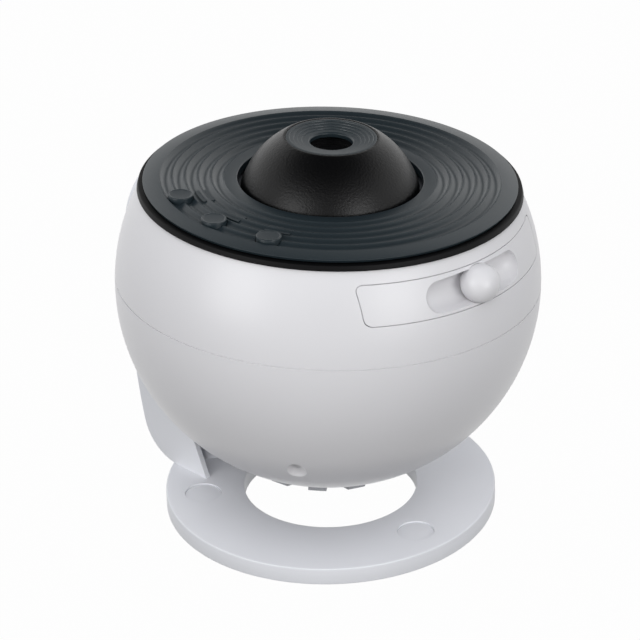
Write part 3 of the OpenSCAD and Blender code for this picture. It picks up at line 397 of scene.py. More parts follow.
def moulded(name, colour, roughness, grain_mm, grain_height, shade, coat=0.0, ior=1.5):
    """Injection-moulded plastic: a fine grain in its gloss from the mould, and slow changes of tone."""
    material, tree, shader, place = blank_material(name)
    slow = add_node(tree, "ShaderNodeTexNoise", {"Scale": per_mm(TONE_MM), "Detail": 0.0}, {"Vector": place})
    tone = add_node(
        tree, "ShaderNodeMix",
        {"data_type": "RGBA", 6: shaded(colour, 1 - shade), 7: shaded(colour, 1 + shade)}, {0: slow.outputs["Fac"]},
    )
    tree.links.new(tone.outputs[2], shader.inputs["Base Color"])
    fine = add_node(
        tree, "ShaderNodeTexNoise", {"Scale": per_mm(grain_mm), "Detail": 3.0, "Roughness": 0.6}, {"Vector": place}
    )
    gloss = add_node(
        tree, "ShaderNodeMapRange",
        {"From Min": 0.0, "From Max": 1.0, "To Min": roughness * 0.9, "To Max": roughness * 1.1},
        {"Value": fine.outputs["Fac"]},
    )
    tree.links.new(gloss.outputs["Result"], shader.inputs["Roughness"])
    bump = add_node(
        tree, "ShaderNodeBump", {"Strength": 1.0, "Distance": grain_height * MM}, {"Height": fine.outputs["Fac"]}
    )
    tree.links.new(bump.outputs["Normal"], shader.inputs["Normal"])
    shader.inputs["IOR"].default_value = ior
    if coat:
        shader.inputs["Coat Weight"].default_value = coat
        shader.inputs["Coat Roughness"].default_value = COAT_ROUGHNESS
    return material


def metal(name, code, roughness, grain_mm, stretch=(1, 1, 1)):
    """Bare metal with the fine lines or grain that its making leaves."""
    material, tree, shader, place = blank_material(name)
    lined = add_node(tree, "ShaderNodeMapping", {"Scale": stretch}, {"Vector": place})
    grain = add_node(
        tree, "ShaderNodeTexNoise", {"Scale": per_mm(grain_mm), "Detail": 4.0}, {"Vector": lined.outputs["Vector"]}
    )
    gloss = add_node(
        tree, "ShaderNodeMapRange",
        {"From Min": 0.25, "From Max": 0.75, "To Min": roughness * 0.75, "To Max": roughness * 1.3},
        {"Value": grain.outputs["Fac"]},
    )
    bump = add_node(tree, "ShaderNodeBump", {"Strength": 0.4, "Distance": 0.02 * MM}, {"Height": grain.outputs["Fac"]})
    colour = linear(code)
    tone = add_node(
        tree, "ShaderNodeMix",
        {"data_type": "RGBA", 6: shaded(colour, 0.88), 7: colour}, {0: grain.outputs["Fac"]},
    )
    tree.links.new(tone.outputs[2], shader.inputs["Base Color"])
    tree.links.new(gloss.outputs["Result"], shader.inputs["Roughness"])
    tree.links.new(bump.outputs["Normal"], shader.inputs["Normal"])
    shader.inputs["Metallic"].default_value = 1.0
    return material


def satin_white_abs():
    """White ABS shells, moulded in a polished tool: an even satin gloss, bright where seen edge on."""
    return moulded("satin_white_abs", colours().ball, 0.32, 0.9, 0.003, shade=0.006)


def matt_grey_abs():
    """Grey ABS plate from a finely etched tool: soft wide highlights and a fine even grain."""
    return moulded("matt_grey_abs", colours().plate, 0.32, 0.35, 0.012, shade=0.05)


def grained_black_abs():
    """Black ABS cone with a coarse spark-eroded grain that breaks the highlight into points."""
    return moulded("grained_black_abs", colours().cone, 0.33, 0.8, 0.12, shade=0.12, ior=1.33)


def dull_black_abs():
    """Black ABS trim with a duller skin than the cone's."""
    return moulded("dull_black_abs", colours().trim, 0.5, 0.5, 0.01, shade=0.06, ior=1.22)


def vent_painted_shade_abs():
    """Grey ABS vent cap, smooth and a little dull; its grey is painted shade, the stand's pale plastic darkened for the
    shade under the ball.
    """
    return moulded("vent_painted_shade_abs", colours().vent, 0.42, 0.8, 0.005, shade=0.015)


def satin_stand_abs_with_painted_light():
    """Pale grey ABS stand, smooth, a little duller than the ball; its cool tone is its own, and that it is paler than
    the ball is painted light, for the light that the ball keeps off the ring.
    """
    return moulded("satin_stand_abs_with_painted_light", colours().stand, 0.42, 0.8, 0.005, shade=0.015)


def optical_glass():
    """Coated optical glass: clear, with a faint cool reflection."""
    material, tree, shader, place = blank_material("optical_glass")
    dust = add_node(tree, "ShaderNodeTexNoise", {"Scale": per_mm(0.8), "Detail": 3.0}, {"Vector": place})
    haze = add_node(
        tree, "ShaderNodeMapRange",
        {"From Min": 0.55, "From Max": 0.8, "To Min": 0.02, "To Max": 0.08}, {"Value": dust.outputs["Fac"]},
    )
    tree.links.new(haze.outputs["Result"], shader.inputs["Roughness"])
    shader.inputs["Base Color"].default_value = linear("#eef4fb")
    shader.inputs["Transmission Weight"].default_value = 1.0
    shader.inputs["IOR"].default_value = 1.52
    return material


def solder_mask_board():
    """Circuit board under green solder mask, with the darker weave of the glass cloth in it."""
    material, tree, shader, place = blank_material("solder_mask_board")
    weave = add_node(tree, "ShaderNodeTexChecker", {"Scale": per_mm(1.0)}, {"Vector": place})
    weave.inputs["Color1"].default_value = shaded(colours().board, 0.9)
    weave.inputs["Color2"].default_value = colours().board
    tree.links.new(weave.outputs["Color"], shader.inputs["Base Color"])
    shader.inputs["Roughness"].default_value = 0.3
    return material


def star_film():
    """Black film disc with a scatter of clear pinholes, drawn coarse enough to see."""
    material, tree, shader, place = blank_material("star_film")
    cells = add_node(tree, "ShaderNodeTexVoronoi", {"Scale": per_mm(1.6)}, {"Vector": place})
    holes = add_node(
        tree, "ShaderNodeMapRange",
        {"From Min": 0.06, "From Max": 0.1, "To Min": 1.0, "To Max": 0.0}, {"Value": cells.outputs["Distance"]},
    )
    tone = add_node(
        tree, "ShaderNodeMix",
        {"data_type": "RGBA", 6: linear("#101218"), 7: linear("#aeb4bf")}, {0: holes.outputs["Result"]},
    )
    tree.links.new(tone.outputs[2], shader.inputs["Base Color"])
    shader.inputs["Roughness"].default_value = 0.15
    return material


def finish_table():
    """Every finish by name, made once."""
    c = colours()
    return {
        "ball": satin_white_abs(),
        "plate": matt_grey_abs(),
        "cone": grained_black_abs(),
        "trim": dull_black_abs(),
        "vent": vent_painted_shade_abs(),
        "stand": satin_stand_abs_with_painted_light(),
        "glass": optical_glass(),
        "board": solder_mask_board(),
        "film": star_film(),
        # glass-filled nylon mouldings inside the ball: dull, with a mottled skin
        "moulding": moulded("glass_filled_nylon", c.moulding, 0.55, 0.6, 0.02, shade=0.08),
        # acetal gear: waxy white
        "gear": moulded("white_acetal", linear("#dcdcd6"), 0.35, 0.7, 0.006, shade=0.02),
        # black nylon of the switches, the power socket, the disc tray and the lens mounts: dull
        "black": moulded("black_nylon", linear("#17181a"), 0.4, 0.5, 0.01, shade=0.06),
        # rubber feet and the friction washer: matt, slightly uneven
        "rubber": moulded("nitrile_rubber", linear("#1d1d1e"), 0.75, 0.4, 0.03, shade=0.1),
        # zinc-plated steel screws and pin: bright with a fine turned grain
        "steel": metal("zinc_plated_steel", "#b9bcc2", 0.38, 0.25),
        # turned brass: warm and bright
        "brass": metal("turned_brass", "#c9a45a", 0.38, 0.25),
        # extruded aluminium: long fine lines
        "aluminium": metal("extruded_aluminium", "#c3c6c9", 0.4, 0.3, (1, 1, 0.05)),
        # yellow phosphor under clear silicone
        "phosphor": moulded("led_phosphor", linear("#e3bb3c"), 0.35, 0.5, 0.01, shade=0.05, coat=0.6),
    }


NODE_FINISH = {
    "rubber": ("rubber_feet", "friction_washer"),
    "steel": (
        "arm_screws", "pivot_pin", "vent_cap_screws", "case_screws", "sleeve_screws", "guide_screws",
        "lamp_screws", "board_screws", "drive_motor", "motor_shaft",
    ),
    "brass": ("pivot_nut", "motor_pinion"),
    "aluminium": ("lamp_housing", "heat_sink"),
    "moulding": ("pivot_hub", "focus_sleeve", "chassis", "tray_guide"),
    "black": (
        "button_switches", "lens_barrel", "lens_spacer", "barrel_ring", "condenser_housing",
        "condenser_ring", "disc_tray", "dc_inlet",
    ),
    "glass": ("rear_lens", "condenser_lens"),
    "board": ("button_board", "led_board", "main_board"),
    "gear": ("disc_carrier",),
    "film": ("star_disc",),
    "phosphor": ("led_lamp",),
}

FINISH = {}


def dress(node, material):
    """Gives a node of the frame its material."""
    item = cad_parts[node]
    item.data.materials.clear()
    item.data.materials.append(material)


# ------------------------------------------------------------------ operators


class PROJECTOR_OT_finishes(bpy.types.Operator):
    """Make the materials, and dress the pieces of the frame that are kept as they are"""

    bl_idname = "projector.finishes"
    bl_label = "Materials"

    def execute(self, context):
        FINISH.update(finish_table())
        for finish, nodes in NODE_FINISH.items():
            for node in nodes:
                dress(node, FINISH[finish])
        return {"FINISHED"}


def door_cutter(grow):
    """Prism along X with the door's outline."""
    s = sizes()
    half, bottom, top = s.door_width / 2 + grow, s.door_bottom - grow, s.door_bottom + s.door_height + grow
    return prism(rectangle(-half, half, bottom, top, DOOR_FILLET + grow), INSIDE, OUTSIDE)


def pivot_hole():
    """Rod along X that opens both half shells for the hub."""
    return along_x(rod(PIVOT_HOLE, -90, -50, 48))


def shell_band(low, high, rows):
    """Solid band of the ball's wall that ends at the seam, with its half of the small groove there."""
    s = sizes()
    step = s.seam_groove
    inner = ball_arc(low, high, s.shell_wall, rows)
    if high == s.seam_height:
        outer = ball_arc(low, high - step / 2 - SEAM_LIP, 0, rows)
        outer += [(outer[-1][0] - step, high - step / 2, 0), (outer[-1][0] - step, high, 0)]
    else:
        outer = ball_arc(low + step / 2 + SEAM_LIP, high, 0, rows)
        outer = [(outer[0][0] - step, low, 0), (outer[0][0] - step, low + step / 2, 0)] + outer
    return lathe(outer + inner[::-1], 256)


class PROJECTOR_OT_upper_shell(bpy.types.Operator):
    """Upper half shell of the ball, with the opening for the disc tray"""

    bl_idname = "projector.upper_shell"
    bl_label = "Upper shell"

    def execute(self, context):
        s = sizes()
        bm = shell_band(s.seam_height, s.shell_top, 22)
        bm = carve(bm, door_cutter(s.door_gap))
        bm = carve(bm, pivot_hole())
        piece("upper_shell_skin", bm, on_ball(), FINISH["ball"], "ball", ["upper_shell"])
        return {"FINISHED"}


class PROJECTOR_OT_lower_shell(bpy.types.Operator):
    """Lower half shell of the ball, with its deep screw recesses and the hole for the power inlet"""

    bl_idname = "projector.lower_shell"
    bl_label = "Lower shell"

    def execute(self, context):
        s = sizes()
        bottom = -math.sqrt((s.ball_radius - s.ball_squash) ** 2 - (VENT_HOLE - s.ball_squash) ** 2)
        bm = shell_band(bottom, s.seam_height, 40)
        # a recess is slightly wider where it leaves the wall, and ends under the screw's seat
        mouth, bore, below, narrow, end = 3.9, 3.5, -90, -44, -6.6
        tubes, drills = [], []
        for i in range(4):
            x, y = polar(SCREW_RING, SCREW_HEADING + 90 * i)
            tubes.append(moved(rod(5.2, -47, -3.6, 40), x, y))
            recess = [(0, below, 0), (mouth, below, 0), (bore, narrow, 0), (bore, end, 0), (0, end, 0)]
            drills.append(moved(lathe(recess, 40), x, y))
        # the tubes end in the middle of the wall
        wall = lathe([(0, -70, 0)] + ball_arc(-69, 20, 1.2, 30) + [(0, 20, 0)], 128)
        bm = carve(bm, carve(joined(*tubes), wall, "INTERSECT"), "UNION")
        bm = carve(bm, joined(*drills))
        bm = carve(bm, pivot_hole())
        inlet = rod(INLET_RADIUS, 50, 90, 48)
        place = Matrix.Translation((0, 0, INLET_HEIGHT)) @ Matrix.Rotation(-math.pi / 2, 4, "X")
        bmesh.ops.transform(inlet, matrix=place, verts=inlet.verts[:])
        bm = carve(bm, inlet)
        piece("lower_shell_skin", bm, on_ball(), FINISH["ball"], "ball", ["lower_shell"])
        return {"FINISHED"}


class PROJECTOR_OT_vent_cap(bpy.types.Operator):
    """Round cap in the bottom of the ball, with its raised teeth and air slots"""

    bl_idname = "projector.vent_cap"
    bl_label = "Vent cap"

    def execute(self, context):
        s = sizes()
        low = -(s.ball_radius - s.ball_squash)
        edge = -math.sqrt(low * low - (VENT_CAP - s.ball_squash) ** 2)
        outer = [(0, low, 0)] + ball_arc(low + POLE_GAP, edge, 0, 24)[1:]
        inner = [(0, low + VENT_WALL, 0)] + ball_arc(low + (VENT_WALL + POLE_GAP), edge, VENT_WALL, 24)[1:]
        bm = lathe(outer + inner[::-1], 192)
        near, far, root = 22.7, 27.7, -62
        teeth, slots = [], []
        for i in range(VENT_COUNT):
            turn = VENT_FIRST + VENT_PITCH * i
            tooth = prism([(near, -71.6, 0.5), (far, -70.4, 0.6), (far, root, 0), (near, root, 0)], -3.2, 3.2)
            teeth.append(moved(moved(tooth, turn=-90), turn=turn))
            slot = prism(rectangle(19.7, 25.7, -1.8, 1.8, 1.7), -90, -50, "Z")
            slots.append(moved(slot, turn=turn + VENT_PITCH / 2))
        bm = carve(bm, joined(*teeth), "UNION")
        bm = carve(bm, joined(*slots))
        piece("vent_cap_grille", bm, on_ball(), FINISH["vent"], "ball", ["vent_cap"])
        return {"FINISHED"}


def trim_bore():
    """Inner radius of the trim ring, where the plate sits."""
    s = sizes()
    return ball_radius_at(s.shell_top, s.shell_wall) - TRIM_INSET


class PROJECTOR_OT_trim_ring(bpy.types.Operator):
    """Thin black ring between the upper shell and the plate"""

    bl_idname = "projector.trim_ring"
    bl_label = "Trim ring"

    def execute(self, context):
        s = sizes()
        top, foot = s.plate_top - TRIM_DROP, s.shell_top - 3
        outer = ball_radius_at(s.shell_top) + TRIM_PROUD
        inner = trim_bore()
        skirt = inner + 1.6
        corners = [
            (inner, foot, 0), (skirt, foot, 0), (skirt, s.shell_top, 0),
            (outer + s.trim_flare, s.shell_top, 0.2), (outer, top, 0.3), (inner, top, 0),
        ]
        piece("trim_band", lathe(corners, 256), on_ball(), FINISH["trim"], "ball", ["trim_ring"])
        return {"FINISHED"}


def plate_corners():
    """Outline of the plate with its concave grooves."""
    s = sizes()
    top, under, rim = s.plate_top, s.plate_top - PLATE_THICK, s.plate_top - PLATE_RIM
    skirt_in, skirt_out, skirt_foot = trim_bore() - 1.15, trim_bore() - 0.15, under - 2.5
    corners = [
        (s.plate_hole, under, 0), (skirt_in, under, 0), (skirt_in, skirt_foot, 0), (skirt_out, skirt_foot, 0),
        (skirt_out, rim, 0), (s.plate_radius - 0.5, rim, 0), (s.plate_radius, top - s.plate_fall, 0.3),
    ]
    half = s.groove_pitch / 2 - CREST_HALF
    bend = (half * half + s.groove_depth**2) / (2 * s.groove_depth)
    spread = math.degrees(math.asin(half / bend))
    for i in reversed(range(s.groove_count)):
        middle = s.first_crest + (i + 0.5) * s.groove_pitch
        corners += arc((middle, top + bend - s.groove_depth), bend, 270 + spread, 270 - spread, 14)
    corners.append((s.plate_hole, top, 0.35))
    return corners


def button_places():
    """x and y of the three buttons."""
    return [polar(sizes().button_ring, heading) for heading in BUTTON_HEADINGS]


class PROJECTOR_OT_top_plate(bpy.types.Operator):
    """Grooved plate with the button holes and the small lands beside them"""

    bl_idname = "projector.top_plate"
    bl_label = "Top plate"

    def execute(self, context):
        s = sizes()
        bm = lathe(plate_corners(), 288)
        crest = s.first_crest + 1.5 * s.groove_pitch
        lands = []
        for heading in BUTTON_HEADINGS:
            land = bmesh.new()
            outline(land, rectangle(crest, crest + s.groove_pitch, s.plate_top - LAND_FOOT, s.plate_top - s.land_depth))
            start = Matrix.Rotation(math.radians(heading - LAND_HALF_ANGLE), 3, "Z")
            bmesh.ops.rotate(land, cent=(0, 0, 0), matrix=start, verts=land.verts[:])
            bmesh.ops.spin(
                land, geom=land.faces[:], cent=(0, 0, 0), axis=(0, 0, 1), angle=math.radians(2 * LAND_HALF_ANGLE),
                steps=9, use_duplicate=False,
            )
            bmesh.ops.recalc_face_normals(land, faces=land.faces[:])
            lands.append(land)
        bm = carve(bm, joined(*lands), "UNION")
        holes = [moved(rod(s.button_radius + BUTTON_GAP, 30, 45, 48), x, y) for x, y in button_places()]
        bm = carve(bm, joined(*holes))
        piece("grooved_plate", bm, on_ball(), FINISH["plate"], "ball", ["top_plate"], 28)
        return {"FINISHED"}


class PROJECTOR_OT_buttons(bpy.types.Operator):
    """Three push buttons, each slightly dished inside a raised edge"""

    bl_idname = "projector.buttons"
    bl_label = "Push buttons"

    def execute(self, context):
        s = sizes()
        radius, top, flange = s.button_radius, s.plate_top + s.button_proud, s.plate_top - 2.9
        foot, collar = flange - 0.9, radius + 1.2
        corners = [
            (0, foot, 0), (collar, foot, 0.1), (collar, flange, 0.1), (radius, flange, 0), (radius, top, 0.25),
            (radius * 0.88, top, 0.1), (radius * 0.84, top - 0.1, 0.1), (0, top - 0.12, 0),
        ]
        for name, (x, y) in zip(("left", "middle", "right"), button_places()):
            bm = moved(lathe(corners, 64), x, y)
            piece(
                "push_button_" + name, bm, on_ball(), FINISH["plate"], "button_%s_body" % name,
                ["button_" + name],
            )
        return {"FINISHED"}


class PROJECTOR_OT_lens_cone(bpy.types.Operator):
    """Black cone round the lens, the stepped funnel in its top and the front glass"""

    bl_idname = "projector.lens_cone"
    bl_label = "Lens cone"

    def execute(self, context):
        s = sizes()
        top, under = s.cone_top, s.plate_top - PLATE_THICK
        low = under - 1.9
        # the funnel's shelf and its hole, and the tube that turns on the focus sleeve
        shelf, web, tube_foot = top - FUNNEL_THICK, top - 5, low + 2
        hole, bore, tube = 14.4, 16.42, 18.2
        dr, dz = s.cone_foot_radius - s.cone_top_radius, under - top
        span = math.hypot(dr, dz)
        bend = 31.0
        rise = math.sqrt(bend * bend - span * span / 4)
        middle = (
            (s.cone_foot_radius + s.cone_top_radius) / 2 + dz / span * rise,
            (under + top) / 2 - dr / span * rise,
        )
        start = math.degrees(math.asin((under - middle[1]) / bend))
        end = math.degrees(math.asin((top - middle[1]) / bend))
        seat = s.cone_top_radius - 0.8
        flank = arc(middle, bend, start, end, 22)
        flank[-1] = (flank[-1][0], flank[-1][1], 0.35)
        inner = arc(middle, bend - 2, end - 7, start, 16)
        corners = [(s.cone_foot_radius, low, 0.3)] + flank + [
            (seat, top, 0.1), (seat, shelf, 0), (hole, shelf, 0), (hole, web, 0),
            (bore, web, 0), (bore, tube_foot, 0), (tube, tube_foot, 0), (tube, web, 0),
        ] + [c for c in inner if c[1] < web - 0.1] + [(s.cone_foot_radius - 2, low, 0)]
        piece("lens_cone", lathe(corners, 224), on_ball(), FINISH["cone"], "focus", ["focus_cone"], 40)

        under, rim, edge = top - 3.3, seat - 0.1, seat - 1.4
        corners = [(s.aperture_radius, under, 0), (rim, under, 0), (rim, top - 0.05, 0.2)]
        for i in range(FUNNEL_STEPS):
            level = top - 0.05 - FUNNEL_RISER * i
            begin = edge - (edge - s.aperture_radius) * i / FUNNEL_STEPS * 0.8
            corners += [(begin, level, 0.12), (begin - 0.12, level - FUNNEL_RISER, 0.1)]
        corners += [(s.aperture_radius + 0.4, level - FUNNEL_RISER, 0.2), (s.aperture_radius, level - 0.9, 0.1)]
        piece("lens_funnel", lathe(corners, 160), on_ball(), FINISH["plate"], "focus", ["lens_bezel"])

        radius, face = 12.3, 45.35
        # the barrel's top lies under the funnel by the focus travel and a gap; the glass sits 7 mm down in it
        barrel_top = shelf - 2 - 0.6
        mid = barrel_top - 7 - 1.4 + 2.5
        fall = face - math.sqrt(face * face - radius * radius)
        spread = math.degrees(math.asin(radius / face))
        front = arc((0, mid + 0.8 + fall - face), face, 90 - spread, 90, 14)
        back = arc((0, mid - 0.8 - fall + face), face, 270, 270 + spread, 14)
        glass = lathe(back + front, 128)
        piece("front_glass", glass, on_ball(), FINISH["glass"], "lens_cell", ["front_lens"])
        return {"FINISHED"}


class PROJECTOR_OT_tray_front(bpy.types.Operator):
    """Curved door of the disc tray with its finger scoop, and the round pull knob"""

    bl_idname = "projector.tray_front"
    bl_label = "Tray front"

    def execute(self, context):
        s = sizes()
        face = ball_radius_at(door_middle())
        floor = face - s.scoop_depth
        bottom, top = s.door_bottom, s.door_bottom + s.door_height
        band = ball_arc(bottom - 2, top + 2, 0, 14) + ball_arc(bottom - 2, top + 2, s.shell_wall, 14)[::-1]
        bm = carve(lathe(band, 256), door_cutter(0), "INTERSECT")
        # a block behind the door gives the scoop its walls
        half = (s.scoop_width + 3) / 2
        block = prism(rectangle(-half, half, bottom + 0.2, top - 0.2), floor - 2.2, OUTSIDE)
        inside = lathe([(0, bottom - 5, 0)] + ball_arc(bottom - 5, top + 5, 0.5, 20) + [(0, top + 5, 0)], 192)
        bm = carve(bm, carve(block, inside, "INTERSECT"), "UNION")
        w, h = s.scoop_width / 2, s.scoop_height / 2
        m = door_middle()
        # a round dish, drawn out sideways into a trough
        dish, rows = [(0, floor, 0)], 16
        for i in range(1, rows + 1):
            turn = math.pi / 2 * i / rows
            out, back = math.sin(turn) ** s.scoop_squareness, max(math.cos(turn), 0) ** s.scoop_squareness
            dish.append((h * out, face - s.scoop_depth * back, 0))
        scoop = along_x(lathe(dish + [(h, OUTSIDE, 0), (0, OUTSIDE, 0)], 64))
        for vert in scoop.verts:
            if abs(vert.co.y) > 0.001:
                vert.co.y += math.copysign(w - h, vert.co.y)
        bm = carve(bm, moved(scoop, 0, 0, m))
        hollow = s.knob_radius + 0.1
        socket = lathe([(0, -hollow, 0)] + arc((0, 0), hollow, -90, 90, 32)[1:-1] + [(0, hollow, 0)], 64)
        bm = carve(bm, moved(socket, face, 0, m))
        piece("tray_door_panel", bm, on_ball(), FINISH["ball"], "tray", ["tray_door"])

        knob = bmesh.new()
        bmesh.ops.create_uvsphere(knob, u_segments=96, v_segments=64, radius=s.knob_radius)
        knob = moved(along_x(knob), face, 0, m)
        stem = moved(along_x(rod(2.4, floor - 1.9, face - 2, 32)), 0, 0, m)
        piece("pull_knob", joined(knob, stem), on_ball(), FINISH["ball"], "tray", ["tray_knob"])
        return {"FINISHED"}


class PROJECTOR_OT_ring(bpy.types.Operator):
    """Flat ring of the stand with its three round plugs"""

    bl_idname = "projector.ring"
    bl_label = "Stand ring"

    def execute(self, context):
        s = sizes()
        top = -s.ring_drop
        low = top - s.ring_height
        corners = [
            (s.ring_hole, low, 0.4), (s.ring_radius, low, 0.4), (s.ring_radius, top, 0.55), (s.ring_hole, top, 0.6),
        ]
        bm = moved(lathe(corners, 256), -s.ring_shift)
        middle = (s.ring_radius + s.ring_hole) / 2
        places = [polar(middle + 1, heading) for heading in PLUG_HEADINGS]
        pockets = [moved(rod(s.plug_radius + 0.1, top - 2.5, top + 5, 64), x - s.ring_shift, y) for x, y in places]
        feet = [
            moved(rod(5.1, low - 5, low + 0.8, 48), x - s.ring_shift, y)
            for x, y in (polar(middle, 45 + 90 * i) for i in range(4))
        ]
        holes = [moved(rod(3.2, low - 5, low + 2.6, 32), -46.5, 15 * side) for side in (-1, 1)]
        bm = carve(bm, joined(*pockets, *feet, *holes))
        piece("stand_ring_body", bm, on_stand(), FINISH["stand"], "stand", ["stand_ring"])
        plugs = [
            moved(rod(s.plug_radius, top - 2.5, top - 0.5, 64, 0.25), x - s.ring_shift, y) for x, y in places
        ]
        piece("ring_plug_discs", joined(*plugs), on_stand(), FINISH["stand"], "stand", ["ring_plugs"])
        return {"FINISHED"}


def arm_heel():
    """Reach and height of the heel's centre, and the height where the back's curve runs into the heel."""
    s = sizes()
    z = s.arm_heel - s.ring_drop
    x = s.arm_reach - 1 - s.arm_curve + math.sqrt((s.arm_curve - s.arm_heel) ** 2 - z * z)
    return x, z, z * s.arm_curve / (s.arm_curve - s.arm_heel)


def arm_back_radius(z):
    """Distance of the arm's back from the ball's axis at a height."""
    s = sizes()
    heel_x, heel_z, touch = arm_heel()
    if z < touch:
        return heel_x + math.sqrt(max(s.arm_heel**2 - (z - heel_z) ** 2, 0))
    return s.arm_reach - 1 - s.arm_curve + math.sqrt(s.arm_curve**2 - z * z)


def hub_radius():
    """Radius of the arm's round top, about the pivot."""
    return sizes().arm_top + 1


def arm_half_width(z):
    """Half of the arm's width at a height."""
    s = sizes()
    hub = hub_radius()
    taper = s.arm_top + (s.arm_foot - s.arm_top) * -z / s.ring_drop if z < 0 else 0
    round_part = math.sqrt(max(hub * hub - z * z, 0))
    return max(taper, round_part, 0.4)


def arm_edge(y, z):
    """Distance of the arm's inner edge from the ball's axis: clear of the ball, sloping at the foot."""
    s = sizes()
    clear = math.sqrt(max((s.ball_radius + 4) ** 2 - y * y - z * z, 0))
    slope = (s.arm_inner - s.arm_foot_inner) / (s.ring_drop - s.arm_slope)
    foot = s.arm_foot_inner + (z + s.ring_drop) * slope if z < -s.arm_slope else s.arm_inner
    return max(clear, foot)


class PROJECTOR_OT_arm(bpy.types.Operator):
    """Hollow arm that rises from the ring to the pivot, with its hub"""

    bl_idname = "projector.arm"
    bl_label = "Stand arm"

    def execute(self, context):
        s = sizes()
        hub = hub_radius()
        across = 16
        _, heel_z, touch = arm_heel()
        turn = math.asin((heel_z - touch) / s.arm_heel)
        # rows round the heel, up the back's curve and over the round top
        heights = [heel_z - s.arm_heel * math.sin(math.pi / 2 + (turn - math.pi / 2) * i / 10) for i in range(10)]
        heights += [touch - touch * i / 24 for i in range(25)]
        heights += [hub * math.sin(math.pi / 2 * i / 12) for i in range(1, 13)]
        rows = len(heights) - 1
        bm = bmesh.new()
        bmesh.ops.create_grid(bm, x_segments=across, y_segments=rows, size=0.5)
        for vert in bm.verts:
            row = round((vert.co.y + 0.5) * rows)
            z = heights[row]
            y = vert.co.x * 2 * arm_half_width(z)
            vert.co = (-math.sqrt(arm_back_radius(z) ** 2 - y * y), y, z)
        # the sides are drawn in towards the ball from every edge but the foot's
        sides = [e for e in bm.edges if e.is_boundary and not all(abs(v.co.z + s.ring_drop) < 1e-4 for v in e.verts)]
        out = bmesh.ops.extrude_edge_only(bm, edges=sides)
        for vert in (v for v in out["geom"] if isinstance(v, bmesh.types.BMVert)):
            vert.co.x = -arm_edge(vert.co.y, vert.co.z)
        bmesh.ops.recalc_face_normals(bm, faces=bm.faces[:])
        if bm.faces[0].normal.x > 0:
            bmesh.ops.reverse_faces(bm, faces=bm.faces[:])
        corner = [e for e in bm.edges if len(e.link_faces) == 2 and e.calc_face_angle(0) > math.radians(40)]
        bmesh.ops.bevel(
            bm, geom=corner, offset=0.9, offset_type="OFFSET", segments=3, profile=0.5, affect="EDGES",
            material=-1, clamp_overlap=True,
        )
        bmesh.ops.solidify(bm, geom=bm.faces[:], thickness=s.arm_wall)
        bmesh.ops.recalc_face_normals(bm, faces=bm.faces[:])
        back, seat, rim = -s.arm_reach, 8.6, 11
        hub_disc = along_x(rod(14, -(s.arm_reach - 1.5), -(s.ball_radius + 5), 64, 0.2, 4.05))
        boss = along_x(lathe([(seat, back, 0.15), (rim, back, 0.5), (rim, -80, 0), (seat, -80, 0)], 64))
        posts = [moved(rod(3.6, -s.ring_drop, -s.ring_drop + 8, 32, 0, 1.5), -47.5, 15 * side) for side in (-1, 1)]
        bm = joined(bm, hub_disc, boss, *posts)
        piece("stand_arm_body", bm, on_stand(), FINISH["stand"], "stand", ["stand_arm"], 38)
        radius, outer, inner = 8.5, back + 0.1, back + 1.2
        cap = along_x(lathe([(0, outer, 0), (radius, outer, 0.4), (radius, inner, 0), (0, inner, 0)], 64))
        piece("pivot_cap_disc", cap, on_stand(), FINISH["stand"], "stand", ["pivot_cap"])
        return {"FINISHED"}


def seen_rays(tree):
    """The Light Path node, and 1 for the rays that see the backdrop: from the camera, by gloss and through glass."""
    path = add_node(tree, "ShaderNodeLightPath")
    seen = path.outputs["Is Camera Ray"]
    for kind in ("Is Glossy Ray", "Is Transmission Ray"):
        either = add_node(tree, "ShaderNodeMath", {"operation": "MAXIMUM"}, {0: seen, 1: path.outputs[kind]})
        seen = either.outputs[0]
    return path, seen


